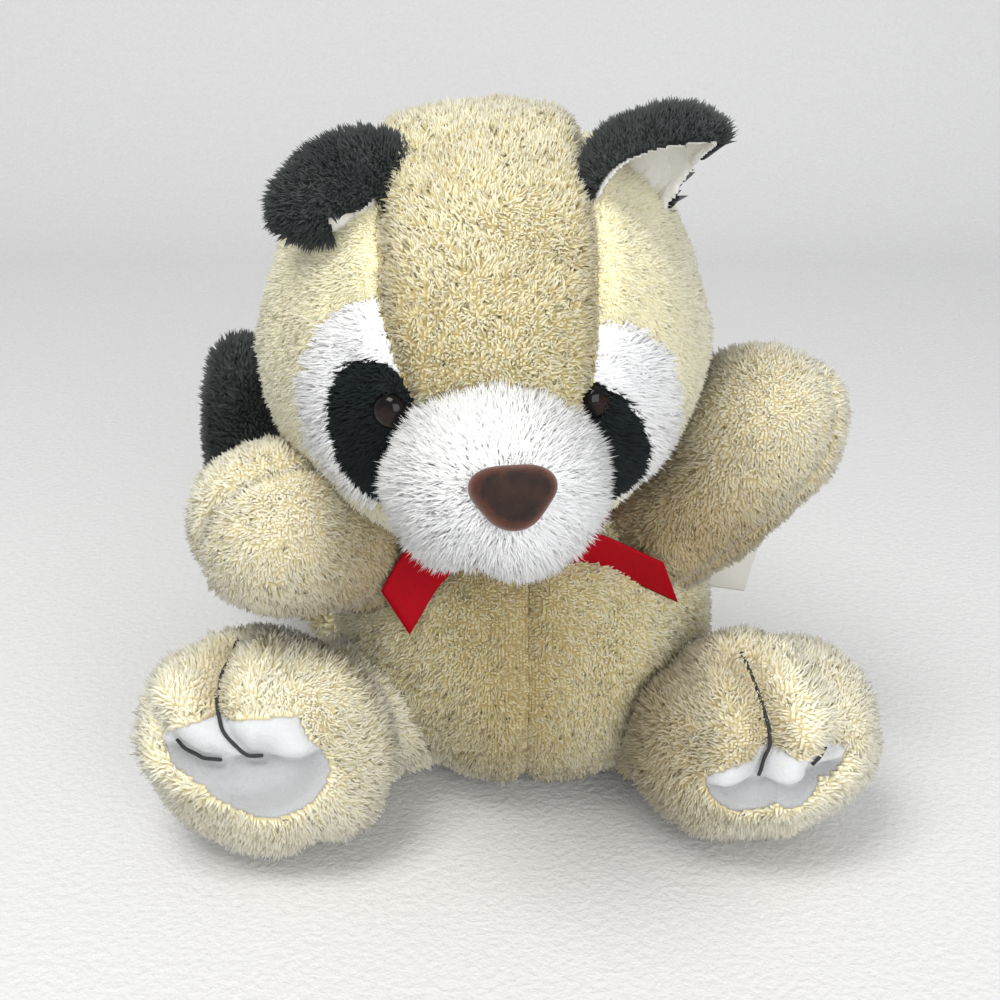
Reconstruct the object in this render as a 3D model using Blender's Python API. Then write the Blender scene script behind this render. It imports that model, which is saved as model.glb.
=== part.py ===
"""A seated plush raccoon, built as it is sewn: stuffing, pile-cloth covers, plastic
eyes and nose with their lock washers, thread stitches, a neck ribbon and a label.

Metres, +Z up, the raccoon faces -Y. The origin lies on the table under the body.
Left and right are the viewer's, looking along +Y.
"""
import math

import bmesh
import bpy
from mathutils import Matrix, Vector

# Clearances and cloth
GAP = 0.0003
PILE = 0.005
SHORT_PILE = 0.003
REACH = 0.3
BEYOND = REACH / 10

# Head, an ellipsoid turned a little about the upright
HEAD_CENTRE = Vector((-0.0043, -0.0178, 0.1443))
HEAD_RADII = Vector((0.0610, 0.0580, 0.0600))
HEAD_TURN = math.radians(4)
GUSSET_HALF_CROWN = 0.0270
GUSSET_HALF_MUZZLE = 0.0190
GUSSET_HALF_NAPE = 0.0160
GUSSET_FROM = math.radians(-8)
GUSSET_TO = math.radians(222)
GUSSET_CROWN_ANGLE = math.radians(30)
GUSSET_BACK_ANGLE = math.radians(130)
GUSSET_REACH = 1.2

# White cheek patches and black eye patches, ellipses seen from the front; each is
# set sideways from the gusset's seam at the height of its top
CHEEK_BESIDE = 0.0035
CHEEK_HEIGHT = -0.0060
CHEEK_RADII = (0.0185, 0.0280)
EYE_PATCH_BESIDE = 0.0045
EYE_PATCH_HEIGHT = -0.0120
EYE_PATCH_RADII = (0.0112, 0.0230)
EYE_PATCH_LEAN = math.radians(12)
MASK_SLANT = 0.0025
MASK_REACH = 1.5

# Muzzle, with the cleft of the mouth below the nose
MUZZLE_OFFSET = Vector((-0.0008, -0.0575, -0.0182))
MUZZLE_RADII = Vector((0.0290, 0.0310, 0.0255))
CLEFT_WIDTH = 0.0030
CLEFT_DEPTH = 0.0040

# Eyes and nose: domed faces on stems, held by lock washers behind the cloth
EYE_RADIUS = 0.0048
EYE_HEIGHT = 0.0036
EYE_BESIDE = 0.00465
EYE_UP = -0.0015
EYE_SUNK = 0.0020
STEM_RADIUS = 0.0016
STEM_BEHIND_WASHER = 0.0030
EYE_WASHER_SEAT = 0.0018
NOSE_WASHER_SEAT = 0.0030
WASHER_RADIUS = 0.0060
WASHER_THICKNESS = 0.0012
NOSE_HALF_WIDTH = 0.0094
NOSE_HALF_HEIGHT = 0.0074
NOSE_THICKNESS = 0.0062
NOSE_OUT = 0.0025
NOSE_UP = 0.0090
NOSE_PROUD = 0.0010
NOSE_CORNER = 0.14

# Ears: cupped half shells, pile outside and a thin lining inside
EAR_RADII = Vector((0.0195, 0.0105, 0.0230))
EAR_LINING = 0.0020
EAR_LIP = 0.0009
EAR_LEFT_PLACE = Vector((-0.0355, -0.0230, 0.0430))
EAR_LEFT_TURN = (math.radians(118), math.radians(-14), math.radians(-20))
EAR_RIGHT_PLACE = Vector((0.0380, -0.0070, 0.0420))
EAR_RIGHT_TURN = (math.radians(28), math.radians(27), math.radians(26))

# Body, an egg with a flat seat
BODY_CENTRE = Vector((0.0075, -0.0020, 0.0480))
BODY_RADII = Vector((0.0575, 0.0495, 0.0515))
BODY_SIDE_SEAM = 0.0040

# Arms, raised beside the head: shoulder, elbow and paw, with their radii
ARM_RADII = (0.0180, 0.0200, 0.0245)
ARM_LEFT = (Vector((-0.0280, -0.0080, 0.0700)),
            Vector((-0.0420, -0.0240, 0.0840)),
            Vector((-0.0600, -0.0390, 0.0960)))
ARM_RIGHT = (Vector((0.0360, -0.0100, 0.0740)),
             Vector((0.0545, -0.0150, 0.0905)),
             Vector((0.0725, -0.0150, 0.1150)))

# Legs: a short thigh running into a broad upright foot
THIGH_RADIUS = 0.0235
HIP_LEFT = Vector((-0.0240, -0.0060, 0.0250))
HIP_RIGHT = Vector((0.0360, -0.0060, 0.0250))
FOOT_LEFT = Vector((-0.0645, -0.0480, 0.0325))
FOOT_RIGHT = Vector((0.0714, -0.0450, 0.0325))
FOOT_RADII = Vector((0.0370, 0.0265, 0.0330))
FOOT_YAW = math.radians(10)
FOOT_LEFT_PITCH = math.radians(-4)
FOOT_RIGHT_PITCH = math.radians(14)
SOLE_LEFT_RADII = (0.0222, 0.0160)
SOLE_LEFT_RISE = 0.0045
SOLE_RIGHT_RADII = (0.0180, 0.0120)
SOLE_RIGHT_RISE = 0.0070
THREAD_RADIUS = 0.0007
STITCH_STEPS = 4
THREAD_SEGMENTS = 5
STITCHES_LEFT = (((-0.0095, 64), (0.0006, 19)),
                 ((-0.0188, 17), (-0.0063, 13)),
                 ((-0.0307, 27), (-0.0265, 23)))
STITCHES_RIGHT = (((-0.0073, 75), (-0.0054, 20)),
                  ((0.0136, 30), (0.0150, 20)))

# Tail, curling up behind the left arm
TAIL_POINTS = (Vector((-0.0150, 0.0300, 0.0200)),
               Vector((-0.0480, 0.0570, 0.0160)),
               Vector((-0.0750, 0.0660, 0.0440)),
               Vector((-0.0835, 0.0680, 0.0740)),
               Vector((-0.0825, 0.0680, 0.0980)))
TAIL_RADII = (0.0140, 0.0165, 0.0175, 0.0175, 0.0160)
TAIL_TIP_FROM = 0.0480

# Ribbon and label
RIBBON_WIDTH = 0.0130
RIBBON_THICKNESS = 0.0007
NECK_BAND_RADIUS = 0.0345
NECK_BAND_ALONG = 0.0445
KNOT_RADII = Vector((0.0065, 0.0035, 0.0060))
TIE_LEFT = (Vector((0.0, 0.0, 0.0)), Vector((-0.0110, 0.0000, -0.0030)),
            Vector((-0.0215, 0.0045, -0.0095)), Vector((-0.0305, 0.0030, -0.0235)))
TIE_RIGHT = (Vector((0.0, 0.0, 0.0)), Vector((0.0115, 0.0010, 0.0000)),
             Vector((0.0240, 0.0075, -0.0010)), Vector((0.0420, 0.0090, -0.0140)))
TIE_LEFT_WIDTH = Vector((-0.5, 0.1, 0.8))
TIE_RIGHT_WIDTH = Vector((0.3, 0.0, 0.9))
LABEL_SIZE = (0.0125, 0.0170)
LABEL_THICKNESS = 0.0005
LABEL_HEIGHT = 0.0620
LABEL_LEAN = math.radians(12)
LABEL_SUNK = 0.0019

# Facets
SEGMENTS = 16
RINGS = 10
SMALL_SEGMENTS = 10
SMALL_RINGS = 6
PATCH_SEGMENTS = 16
LIMB_SEGMENTS = 10
CAP_RINGS = 2
SMOOTH_STEPS = 2
FLAT_ANGLE = math.radians(0.5)

COLOURS = {
    "tan_pile": ((0.62, 0.50, 0.32), 0.95),
    "cream_pile": ((0.72, 0.62, 0.42), 0.95),
    "white_pile": ((0.88, 0.87, 0.85), 0.95),
    "black_pile": ((0.012, 0.012, 0.014), 0.9),
    "sole_cloth": ((0.82, 0.82, 0.84), 0.95),
    "stuffing": ((0.85, 0.85, 0.83), 1.0),
    "eye_plastic": ((0.02, 0.012, 0.01), 0.08),
    "washer_plastic": ((0.75, 0.75, 0.73), 0.4),
    "nose_flock": ((0.13, 0.03, 0.02), 0.85),
    "black_thread": ((0.015, 0.015, 0.017), 0.8),
    "red_ribbon": ((0.62, 0.01, 0.02), 0.5),
    "label_cloth": ((0.85, 0.85, 0.84), 0.8),
}


def material(slot):
    """The Principled material of one slot, made once."""
    found = bpy.data.materials.get(slot)
    if found:
        return found
    colour, roughness = COLOURS[slot]
    made = bpy.data.materials.new(slot)
    made.use_nodes = True
    shader = made.node_tree.nodes["Principled BSDF"]
    shader.inputs["Base Color"].default_value = (*colour, 1.0)
    shader.inputs["Roughness"].default_value = roughness
    return made


def place(name, bm):
    """Link a new object that holds the bmesh, as flat triangles that point outwards."""
    bmesh.ops.triangulate(bm, faces=bm.faces, quad_method='FIXED')
    bmesh.ops.recalc_face_normals(bm, faces=bm.faces)
    mesh = bpy.data.meshes.new(name)
    bm.to_mesh(mesh)
    bm.free()
    obj = bpy.data.objects.new(name, mesh)
    bpy.context.scene.collection.objects.link(obj)
    return obj


def guide(name, bm):
    """A shape that only cuts or bounds the pieces."""
    obj = place("guide_" + name, bm)
    obj.hide_render = True
    obj.display_type = 'WIRE'
    return obj


def boolean(obj, operation, other):
    """Add one exact Boolean to the object."""
    step = obj.modifiers.new(operation.lower(), 'BOOLEAN')
    step.operation = operation
    step.object = other


def piece(name, slot, bm, keep=(), cut=(), join=()):
    """One piece of the raccoon: a shape, joined to, kept inside and cut by others."""
    obj = place(name, bm)
    obj.data.materials.append(material(slot))
    for other in join:
        boolean(obj, 'UNION', other)
    for other in keep:
        boolean(obj, 'INTERSECT', other)
    for other in cut:
        boolean(obj, 'DIFFERENCE', other)
    tidy = obj.modifiers.new("flat_faces", 'DECIMATE')
    tidy.decimate_type = 'DISSOLVE'
    tidy.angle_limit = FLAT_ANGLE
    return obj


def ball(frame, radii, inset=0.0, segments=SEGMENTS, rings=RINGS):
    """An ellipsoid in a frame, its radii shortened by the inset."""
    bm = bmesh.new()
    bmesh.ops.create_uvsphere(bm, u_segments=segments, v_segments=rings, radius=1.0)
    scale = Matrix.Diagonal((radii[0] - inset, radii[1] - inset, radii[2] - inset, 1.0))
    bmesh.ops.transform(bm, matrix=frame @ scale, verts=bm.verts)
    return bm


def post(frame, radii, low, high, segments=SMALL_SEGMENTS):
    """An elliptical post along the frame's Z, from low to high."""
    bm = bmesh.new()
    bmesh.ops.create_cone(bm, cap_ends=True, segments=segments, radius1=1.0, radius2=1.0, depth=1.0)
    scale = Matrix.Diagonal((radii[0], radii[1], high - low, 1.0))
    shift = Matrix.Translation((0.0, 0.0, (low + high) / 2))
    bmesh.ops.transform(bm, matrix=frame @ shift @ scale, verts=bm.verts)
    return bm


def slab(frame, size):
    """A box in a frame, centred on its origin."""
    bm = bmesh.new()
    bmesh.ops.create_cube(bm, size=1.0)
    bmesh.ops.transform(bm, matrix=frame @ Matrix.Diagonal((*size, 1.0)), verts=bm.verts)
    return bm


def beyond(point, normal):
    """A large box that fills the space on one side of a plane."""
    turn = Vector(normal).to_track_quat('Z', 'Y').to_matrix().to_4x4()
    frame = Matrix.Translation(point) @ turn @ Matrix.Translation((0.0, 0.0, REACH / 2))
    return slab(frame, (REACH, REACH, REACH))


def curve_through(points, sizes, steps=SMOOTH_STEPS):
    """Points and sizes along a smooth curve through the given ones."""
    ends = [2 * points[0] - points[1]] + list(points) + [2 * points[-1] - points[-2]]
    path = []
    for i in range(1, len(ends) - 2):
        a, b, c, d = ends[i - 1:i + 3]
        for k in range(steps):
            t = k / steps
            spot = 0.5 * (2 * b + (c - a) * t + (2 * a - 5 * b + 4 * c - d) * t ** 2
                          + (3 * b - a - 3 * c + d) * t ** 3)
            path.append((spot, sizes[i - 1] + (sizes[i] - sizes[i - 1]) * t))
    path.append((points[-1], sizes[-1]))
    return path


def limb(points, sizes, inset=0.0, segments=LIMB_SEGMENTS, caps=CAP_RINGS, steps=SMOOTH_STEPS):
    """A round-ended tube along a smooth curve; the inset draws its surface inwards."""
    path = curve_through(points, sizes, steps)
    rings = []
    first, last = path[0], path[-1]
    start = (path[1][0] - first[0]).normalized()
    finish = (last[0] - path[-2][0]).normalized()
    quarter = math.pi / 2
    for i in range(1, caps + 1):
        angle = quarter * i / (caps + 1)
        size = first[1] - inset
        rings.append((first[0] - start * size * math.cos(angle), size * math.sin(angle), start))
    for i, (spot, size) in enumerate(path):
        before = path[max(i - 1, 0)][0]
        after = path[min(i + 1, len(path) - 1)][0]
        rings.append((spot, size - inset, (after - before).normalized()))
    for i in range(caps, 0, -1):
        angle = quarter * i / (caps + 1)
        size = last[1] - inset
        rings.append((last[0] + finish * size * math.cos(angle), size * math.sin(angle), finish))
    bm = bmesh.new()
    side = start.orthogonal().normalized()
    loops = []
    for spot, size, along in rings:
        side = (side - along * side.dot(along)).normalized()
        up = along.cross(side)
        loops.append([bm.verts.new(spot + size * (side * math.cos(a) + up * math.sin(a)))
                      for a in (math.tau * k / segments for k in range(segments))])
    for one, two in zip(loops, loops[1:]):
        for k in range(segments):
            n = (k + 1) % segments
            bm.faces.new((one[k], one[n], two[n], two[k]))
    tips = ((loops[0], first[0] - start * (first[1] - inset)),
            (loops[-1], last[0] + finish * (last[1] - inset)))
    for loop, spot in tips:
        tip = bm.verts.new(spot)
        for k in range(segments):
            bm.faces.new((loop[k], loop[(k + 1) % segments], tip))
    return bm


def gusset_half_width(angle, spare):
    """Half the gusset's width at an angle about the head's X axis, from the front over the top."""
    if angle < GUSSET_CROWN_ANGLE:
        share = (angle - GUSSET_FROM) / (GUSSET_CROWN_ANGLE - GUSSET_FROM)
        widening = GUSSET_HALF_CROWN - GUSSET_HALF_MUZZLE
        width = GUSSET_HALF_MUZZLE + widening * math.sin(share * math.pi / 2)
    elif angle < GUSSET_BACK_ANGLE:
        width = GUSSET_HALF_CROWN
    else:
        share = (angle - GUSSET_BACK_ANGLE) / (GUSSET_TO - GUSSET_BACK_ANGLE)
        width = GUSSET_HALF_CROWN + (GUSSET_HALF_NAPE - GUSSET_HALF_CROWN) * share
    return width + spare


def beside_gusset(top, distance):
    """How far out from the middle a place lies that is set off from the gusset's seam at a height."""
    return gusset_half_width(math.asin(top / HEAD_RADII.z), 0.0) + distance


def gusset_band(frame, spare, steps=16):
    """The space that the centre gusset takes: a fan over the crown, from muzzle to nape."""
    near, far = min(HEAD_RADII) / 2, max(HEAD_RADII) * GUSSET_REACH
    turn = spare / min(HEAD_RADII)
    bm = bmesh.new()
    loops = []
    for i in range(steps + 1):
        share = i / steps
        angle = GUSSET_FROM + (GUSSET_TO - GUSSET_FROM) * share
        half = gusset_half_width(angle, spare)
        angle += turn * (2 * share - 1)
        outward = Vector((0.0, -math.cos(angle), math.sin(angle)))
        corners = ((-half, near), (half, near), (half, far), (-half, far))
        loops.append([bm.verts.new(frame @ (outward * reach + Vector((x, 0, 0))))
                      for x, reach in corners])
    for one, two in zip(loops, loops[1:]):
        for k in range(4):
            n = (k + 1) % 4
            bm.faces.new((one[k], one[n], two[n], two[k]))
    bm.faces.new(loops[0])
    bm.faces.new(loops[-1])
    return bm


def patch_post(frame, side, beside, up, radii, lean, spare):
    """A post from the front through one patch of the mask."""
    out = beside_gusset(up + radii[1], beside)
    spot = Vector((side * out, 0.0, up - side * MASK_SLANT))
    forward = Matrix.Rotation(math.pi / 2, 4, 'X')
    local = Matrix.Translation(spot) @ Matrix.Rotation(side * lean, 4, 'Y') @ forward
    grown = (radii[0] + spare, radii[1] + spare)
    return post(frame @ local, grown, 0.0, max(HEAD_RADII) * MASK_REACH, PATCH_SEGMENTS)


def on_ball(centre, radii, x, z, inset=0.0):
    """The front point of an ellipsoid at a sideways and an upward distance."""
    a, b, c = (r - inset for r in radii)
    depth = b * math.sqrt(max(0.0, 1.0 - (x / a) ** 2 - (z / c) ** 2))
    return centre + Vector((x, -depth, z))


def facing(spot, normal):
    """A frame at a point whose Z runs along the normal."""
    return Matrix.Translation(spot) @ normal.to_track_quat('Z', 'Y').to_matrix().to_4x4()


def snap_in(name, frame, radius, sunk, seat):
    """Guides for one stem fitting: its recess, its stem's hole and its washer's pocket."""
    washer_top = -seat
    washer_low = washer_top - WASHER_THICKNESS
    stem_low = washer_low - STEM_BEHIND_WASHER
    recess = guide(name + "_recess", post(frame, (radius + GAP,) * 2, -sunk - GAP, BEYOND))
    hole = guide(name + "_hole", post(frame, (STEM_RADIUS + GAP,) * 2, stem_low - GAP, BEYOND))
    pocket = guide(name + "_pocket", post(frame, (WASHER_RADIUS + GAP,) * 2, washer_low - GAP, BEYOND))
    stem = guide(name + "_stem", post(frame, (STEM_RADIUS,) * 2, stem_low, -sunk + GAP))
    washer = piece(name + "_washer", "washer_plastic",
                   post(frame, (WASHER_RADIUS,) * 2, washer_low, washer_top), cut=[hole])
    return recess, hole, pocket, stem, washer


def head_frame():
    """The head's own frame: its centre, turned a little."""
    return Matrix.Translation(HEAD_CENTRE) @ Matrix.Rotation(HEAD_TURN, 4, 'Z')


def ear_frame(spot, turn):
    """An ear's frame on the head, turned by pitch, roll and yaw: Z up it, -Y out of its opening."""
    frame = head_frame() @ Matrix.Translation(spot)
    for angle, axis in zip(reversed(turn), "ZYX"):
        frame = frame @ Matrix.Rotation(angle, 4, axis)
    return frame


def common_guides():
    """The outer forms that neighbouring pieces are trimmed by."""
    head = head_frame()
    body = Matrix.Translation(BODY_CENTRE)
    return {
        "table": guide("table", slab(Matrix.Translation((0, 0, -BEYOND / 2)), (REACH, REACH, BEYOND))),
        "head": guide("head", ball(head, HEAD_RADII, -GAP)),
        "head_inside": guide("head_inside", ball(head, HEAD_RADII, PILE)),
        "muzzle": guide("muzzle", ball(head @ Matrix.Translation(MUZZLE_OFFSET), MUZZLE_RADII, -GAP)),
        "body": guide("body", ball(body, BODY_RADII, -GAP)),
        "body_inside": guide("body_inside", ball(body, BODY_RADII, PILE)),
        "neck": guide("neck", post(neck_frame(), (NECK_BAND_RADIUS + RIBBON_THICKNESS / 2 + GAP,) * 2,
                                   -RIBBON_WIDTH / 2 - GAP, RIBBON_WIDTH / 2 + GAP, PATCH_SEGMENTS)),
    }


def build_head(guides):
    """The head's stuffing and covers, the mask's patches, the muzzle, eyes and nose."""
    head = head_frame()
    muzzle = head @ Matrix.Translation(MUZZLE_OFFSET)
    muzzle_inside = guide("muzzle_inside", ball(muzzle, MUZZLE_RADII, PILE))
    muzzle_core = guide("muzzle_core", ball(muzzle, MUZZLE_RADII, PILE + GAP))
    gusset_keep = guide("gusset_keep", gusset_band(head, -GAP / 2))
    gusset_cut = guide("gusset_cut", gusset_band(head, GAP / 2))
    across = head.to_3x3() @ Vector((1, 0, 0))

    nose_spot = on_ball(MUZZLE_OFFSET, MUZZLE_RADII, NOSE_OUT, NOSE_UP)
    nose_normal = normal_at(nose_spot - MUZZLE_OFFSET, MUZZLE_RADII)
    nose = head @ facing(nose_spot, nose_normal)
    nose_cuts = snap_in("nose", nose, STEM_RADIUS, 0.0, PILE + NOSE_WASHER_SEAT)
    build_nose(nose, nose_cuts[3], guides["muzzle"])

    stuffing_cuts = [guides["body"], nose_cuts[1], nose_cuts[2]]
    muzzle_cuts = [muzzle_inside, guides["head_inside"], nose_cuts[1]]
    gusset_cuts = [guides["head_inside"], guides["muzzle"], guides["body"]]
    for side, word in ((-1, "left"), (1, "right")):
        spot = on_ball(Vector(), HEAD_RADII, side * beside_gusset(EYE_UP, EYE_BESIDE), EYE_UP)
        frame = head @ facing(spot, normal_at(spot, HEAD_RADII))
        recess, hole, pocket, stem, _ = snap_in("eye_" + word, frame, EYE_RADIUS, EYE_SUNK,
                                                PILE + EYE_WASHER_SEAT)
        build_eye("eye_" + word, frame, stem)
        stuffing_cuts += [hole, pocket]
        muzzle_cuts.append(recess)
        gusset_cuts.append(recess)

        cheek = (head, side, CHEEK_BESIDE, CHEEK_HEIGHT, CHEEK_RADII, 0.0)
        mask = (head, side, EYE_PATCH_BESIDE, EYE_PATCH_HEIGHT, EYE_PATCH_RADII, EYE_PATCH_LEAN)
        cheek_keep = guide("cheek_keep_" + word, patch_post(*cheek, -GAP / 2))
        cheek_cut = guide("cheek_cut_" + word, patch_post(*cheek, GAP / 2))
        mask_keep = guide("mask_keep_" + word, patch_post(*mask, -GAP / 2))
        mask_cut = guide("mask_cut_" + word, patch_post(*mask, GAP / 2))
        half = guide("head_half_" + word, beyond(head @ Vector((side * GAP / 2, 0, 0)), side * across))
        around = [guides["head_inside"], gusset_cut, guides["muzzle"], guides["body"], recess, hole]

        piece("head_side_" + word, "cream_pile", ball(head, HEAD_RADII), keep=[half],
              cut=around + [cheek_cut, mask_cut])
        piece("cheek_patch_" + word, "white_pile", ball(head, HEAD_RADII), keep=[cheek_keep],
              cut=around + [mask_cut])
        piece("eye_patch_" + word, "black_pile", ball(head, HEAD_RADII), keep=[mask_keep], cut=around)

    cleft = guide("cleft", slab(muzzle @ Matrix.Translation((0, -MUZZLE_RADII.y / 2, -MUZZLE_RADII.z)),
                                (CLEFT_WIDTH, MUZZLE_RADII.y, 2 * CLEFT_DEPTH)))
    piece("muzzle_cover", "white_pile", ball(muzzle, MUZZLE_RADII), cut=muzzle_cuts + [cleft])
    piece("head_centre_gusset", "tan_pile", ball(head, HEAD_RADII), keep=[gusset_keep],
          cut=gusset_cuts)
    piece("head_stuffing", "stuffing", ball(head, HEAD_RADII, PILE + GAP), join=[muzzle_core],
          cut=stuffing_cuts)


def normal_at(spot, radii):
    """The outward normal of an ellipsoid at a point from its centre."""
    return Vector([spot[i] / radii[i] ** 2 for i in range(3)]).normalized()


def build_eye(name, frame, stem):
    """A glossy dome on its stem."""
    base = frame @ Matrix.Translation((0, 0, -EYE_SUNK))
    front = guide(name + "_front", beyond(base.translation, frame.to_3x3() @ Vector((0, 0, 1))))
    low = base @ Matrix.Translation((0, 0, -GAP))
    dome = guide(name + "_dome", ball(low, (EYE_RADIUS, EYE_RADIUS, EYE_HEIGHT), 0.0,
                                      SMALL_SEGMENTS, SMALL_RINGS))
    boolean(dome, 'INTERSECT', front)
    piece(name, "eye_plastic", bmesh_copy(stem), join=[dome])


def bmesh_copy(obj):
    """A new bmesh with the faces of a placed guide."""
    bm = bmesh.new()
    bm.from_mesh(obj.data)
    return bm


def build_nose(frame, stem, muzzle):
    """A domed, rounded triangle, point down, on its stem."""
    bm = ball(Matrix(), (1.0, 1.0, 1.0), 0.0, SEGMENTS, SMALL_RINGS)
    for vert in bm.verts:
        angle = math.atan2(vert.co.y, vert.co.x)
        swell = 1.0 + NOSE_CORNER * math.cos(3 * (angle + math.pi / 2))
        vert.co.x *= swell * NOSE_HALF_WIDTH
        vert.co.y *= swell * NOSE_HALF_HEIGHT
        vert.co.z *= NOSE_THICKNESS
    bmesh.ops.transform(bm, matrix=frame @ Matrix.Translation((0, 0, NOSE_PROUD)), verts=bm.verts)
    pad = guide("nose_pad", bm)
    boolean(pad, 'DIFFERENCE', muzzle)
    piece("nose", "nose_flock", bmesh_copy(stem), join=[pad])


def build_ear(word, spot, turn, guides):
    """A cupped black half shell, its opening to the front, with a thin lining inside."""
    frame = ear_frame(spot, turn)
    front = frame.to_3x3() @ Vector((0, -1, 0))
    rim = guide("ear_rim_" + word, beyond(frame.translation + front * EAR_LIP, front))
    facets = (SEGMENTS, SMALL_RINGS)
    lining = SHORT_PILE + GAP
    inside = guide("ear_inside_" + word, ball(frame, EAR_RADII, SHORT_PILE, *facets))
    hollow = guide("ear_hollow_" + word, ball(frame, EAR_RADII, lining + EAR_LINING, *facets))
    piece("ear_" + word, "black_pile", ball(frame, EAR_RADII, 0.0, *facets),
          cut=[inside, rim, guides["head"]])
    piece("ear_lining_" + word, "white_pile", ball(frame, EAR_RADII, lining, *facets),
          cut=[hollow, rim, guides["head"]])


def build_body(guides):
    """The body's stuffing, two front panels and the back panel with the seat."""
    body = Matrix.Translation(BODY_CENTRE)
    fore = BODY_SIDE_SEAM - GAP / 2
    aft = BODY_SIDE_SEAM + GAP / 2
    front = guide("body_fore", beyond((0, fore, 0), (0, -1, 0)))
    back = guide("body_aft", beyond((0, aft, 0), (0, 1, 0)))
    cuts = [guides["body_inside"], guides["table"]]
    for side, word in ((-1, "left"), (1, "right")):
        half = guide("body_half_" + word, beyond((BODY_CENTRE.x + side * GAP / 2, 0, 0), (side, 0, 0)))
        piece("body_front_" + word, "tan_pile", ball(body, BODY_RADII), keep=[front, half], cut=cuts)
    piece("body_back", "cream_pile", ball(body, BODY_RADII), keep=[back], cut=cuts)
    piece("body_stuffing", "stuffing", ball(body, BODY_RADII, PILE + GAP))


def build_arm(word, points, guides):
    """An arm: stuffing in a front panel and a back panel."""
    inside = guide("arm_inside_" + word, limb(points, ARM_RADII, PILE))
    cuts = [guides["body"], guides["head"], guides["neck"]]
    along = (points[-1] - points[0]).normalized()
    forward = Vector((0, -1, 0))
    forward = (forward - along * forward.dot(along)).normalized()
    for name, way in (("front", forward), ("back", -forward)):
        half = guide("arm_%s_%s" % (name, word), beyond(points[-1] + way * GAP / 2, way))
        piece("arm_%s_%s" % (word, name), "cream_pile", limb(points, ARM_RADII),
              keep=[half], cut=[inside] + cuts)
    piece("arm_%s_stuffing" % word, "stuffing", limb(points, ARM_RADII, PILE + GAP), cut=cuts)


def foot_frame(spot, side, pitch):
    """A foot's frame: -Y out of the sole, Z up to the toes."""
    turned = Matrix.Translation(spot) @ Matrix.Rotation(side * FOOT_YAW, 4, 'Z')
    return turned @ Matrix.Rotation(pitch, 4, 'X')


def build_leg(word, side, hip, foot, pitch, sole_radii, sole_rise, stitches, guides):
    """A leg: thigh and foot stuffing in two panels, a sole let into the foot, and its toe stitches."""
    frame = foot_frame(foot, side, pitch)
    thigh = (hip, hip.lerp(foot, 0.5), foot)
    sizes = (THIGH_RADIUS,) * 3
    outer = guide("thigh_" + word, limb(thigh, sizes, steps=1))
    thigh_inside = guide("thigh_inside_" + word, limb(thigh, sizes, PILE, steps=1))
    thigh_core = guide("thigh_core_" + word, limb(thigh, sizes, PILE + GAP, steps=1))
    foot_inside = guide("foot_inside_" + word, ball(frame, FOOT_RADII, PILE))
    sole = frame @ Matrix.Translation((0, 0, sole_rise)) @ Matrix.Rotation(math.pi / 2, 4, 'X')
    reach = 2 * FOOT_RADII.y
    sole_keep = guide("sole_keep_" + word, post(sole, sole_radii, 0.0, reach, PATCH_SEGMENTS))
    grown = [r + GAP for r in sole_radii]
    sole_cut = guide("sole_cut_" + word, post(sole, grown, 0.0, reach, PATCH_SEGMENTS))
    grooves = []
    for number, ends in enumerate(stitches, 1):
        path = stitch_path(frame, ends)
        name = "toe_stitch_%s_%d" % (word, number)
        piece(name, "black_thread", thread(path, THREAD_RADIUS))
        grooves.append(guide(name + "_groove", thread(path, THREAD_RADIUS + GAP)))
    inside = [foot_inside, thigh_inside]
    along = (foot - hip).normalized()
    across = Vector((0, 0, 1)).cross(along).normalized()
    if across.x * side < 0:
        across.negate()
    for name, way in (("outer", across), ("inner", -across)):
        half = guide("leg_%s_%s" % (name, word), beyond(foot + way * GAP / 2, way))
        piece("leg_%s_%s" % (word, name), "cream_pile", ball(frame, FOOT_RADII), join=[outer],
              keep=[half], cut=inside + [sole_cut, guides["body"], guides["table"]] + grooves)
    piece("sole_" + word, "sole_cloth", ball(frame, FOOT_RADII), keep=[sole_keep],
          cut=[foot_inside] + grooves)
    piece("leg_%s_stuffing" % word, "stuffing", ball(frame, FOOT_RADII, PILE + GAP),
          join=[thigh_core], cut=[guides["body"]])


def stitch_path(frame, ends):
    """Points on the foot between two ends, each a sideways place and a climb in degrees."""
    path = []
    for i in range(STITCH_STEPS + 1):
        x, climb = Vector(ends[0]).lerp(Vector(ends[1]), i / STITCH_STEPS)
        path.append(frame @ on_ball(Vector(), FOOT_RADII, x, FOOT_RADII.z * math.sin(math.radians(climb))))
    return path


def thread(path, radius):
    """A thin round-ended thread along a path."""
    return limb(path, [radius] * len(path), 0.0, THREAD_SEGMENTS, 1, 1)


def build_tail(guides):
    """The tail: stuffing in a tan root cover and a black tip cover."""
    inside = guide("tail_inside", limb(TAIL_POINTS, TAIL_RADII, PILE))
    cuts = [inside, guides["body"], guides["table"]]
    low = guide("tail_low", beyond((0, 0, TAIL_TIP_FROM - GAP / 2), (0, 0, -1)))
    high = guide("tail_high", beyond((0, 0, TAIL_TIP_FROM + GAP / 2), (0, 0, 1)))
    piece("tail_root", "tan_pile", limb(TAIL_POINTS, TAIL_RADII), keep=[low], cut=cuts)
    piece("tail_tip", "black_pile", limb(TAIL_POINTS, TAIL_RADII), keep=[high], cut=cuts)
    piece("tail_stuffing", "stuffing", limb(TAIL_POINTS, TAIL_RADII, PILE + GAP), cut=[guides["body"]])


def neck_frame():
    """The ribbon band's frame: on the line from the body's centre to the head's."""
    along = (HEAD_CENTRE - BODY_CENTRE).normalized()
    return facing(BODY_CENTRE + along * NECK_BAND_ALONG, along)


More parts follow.
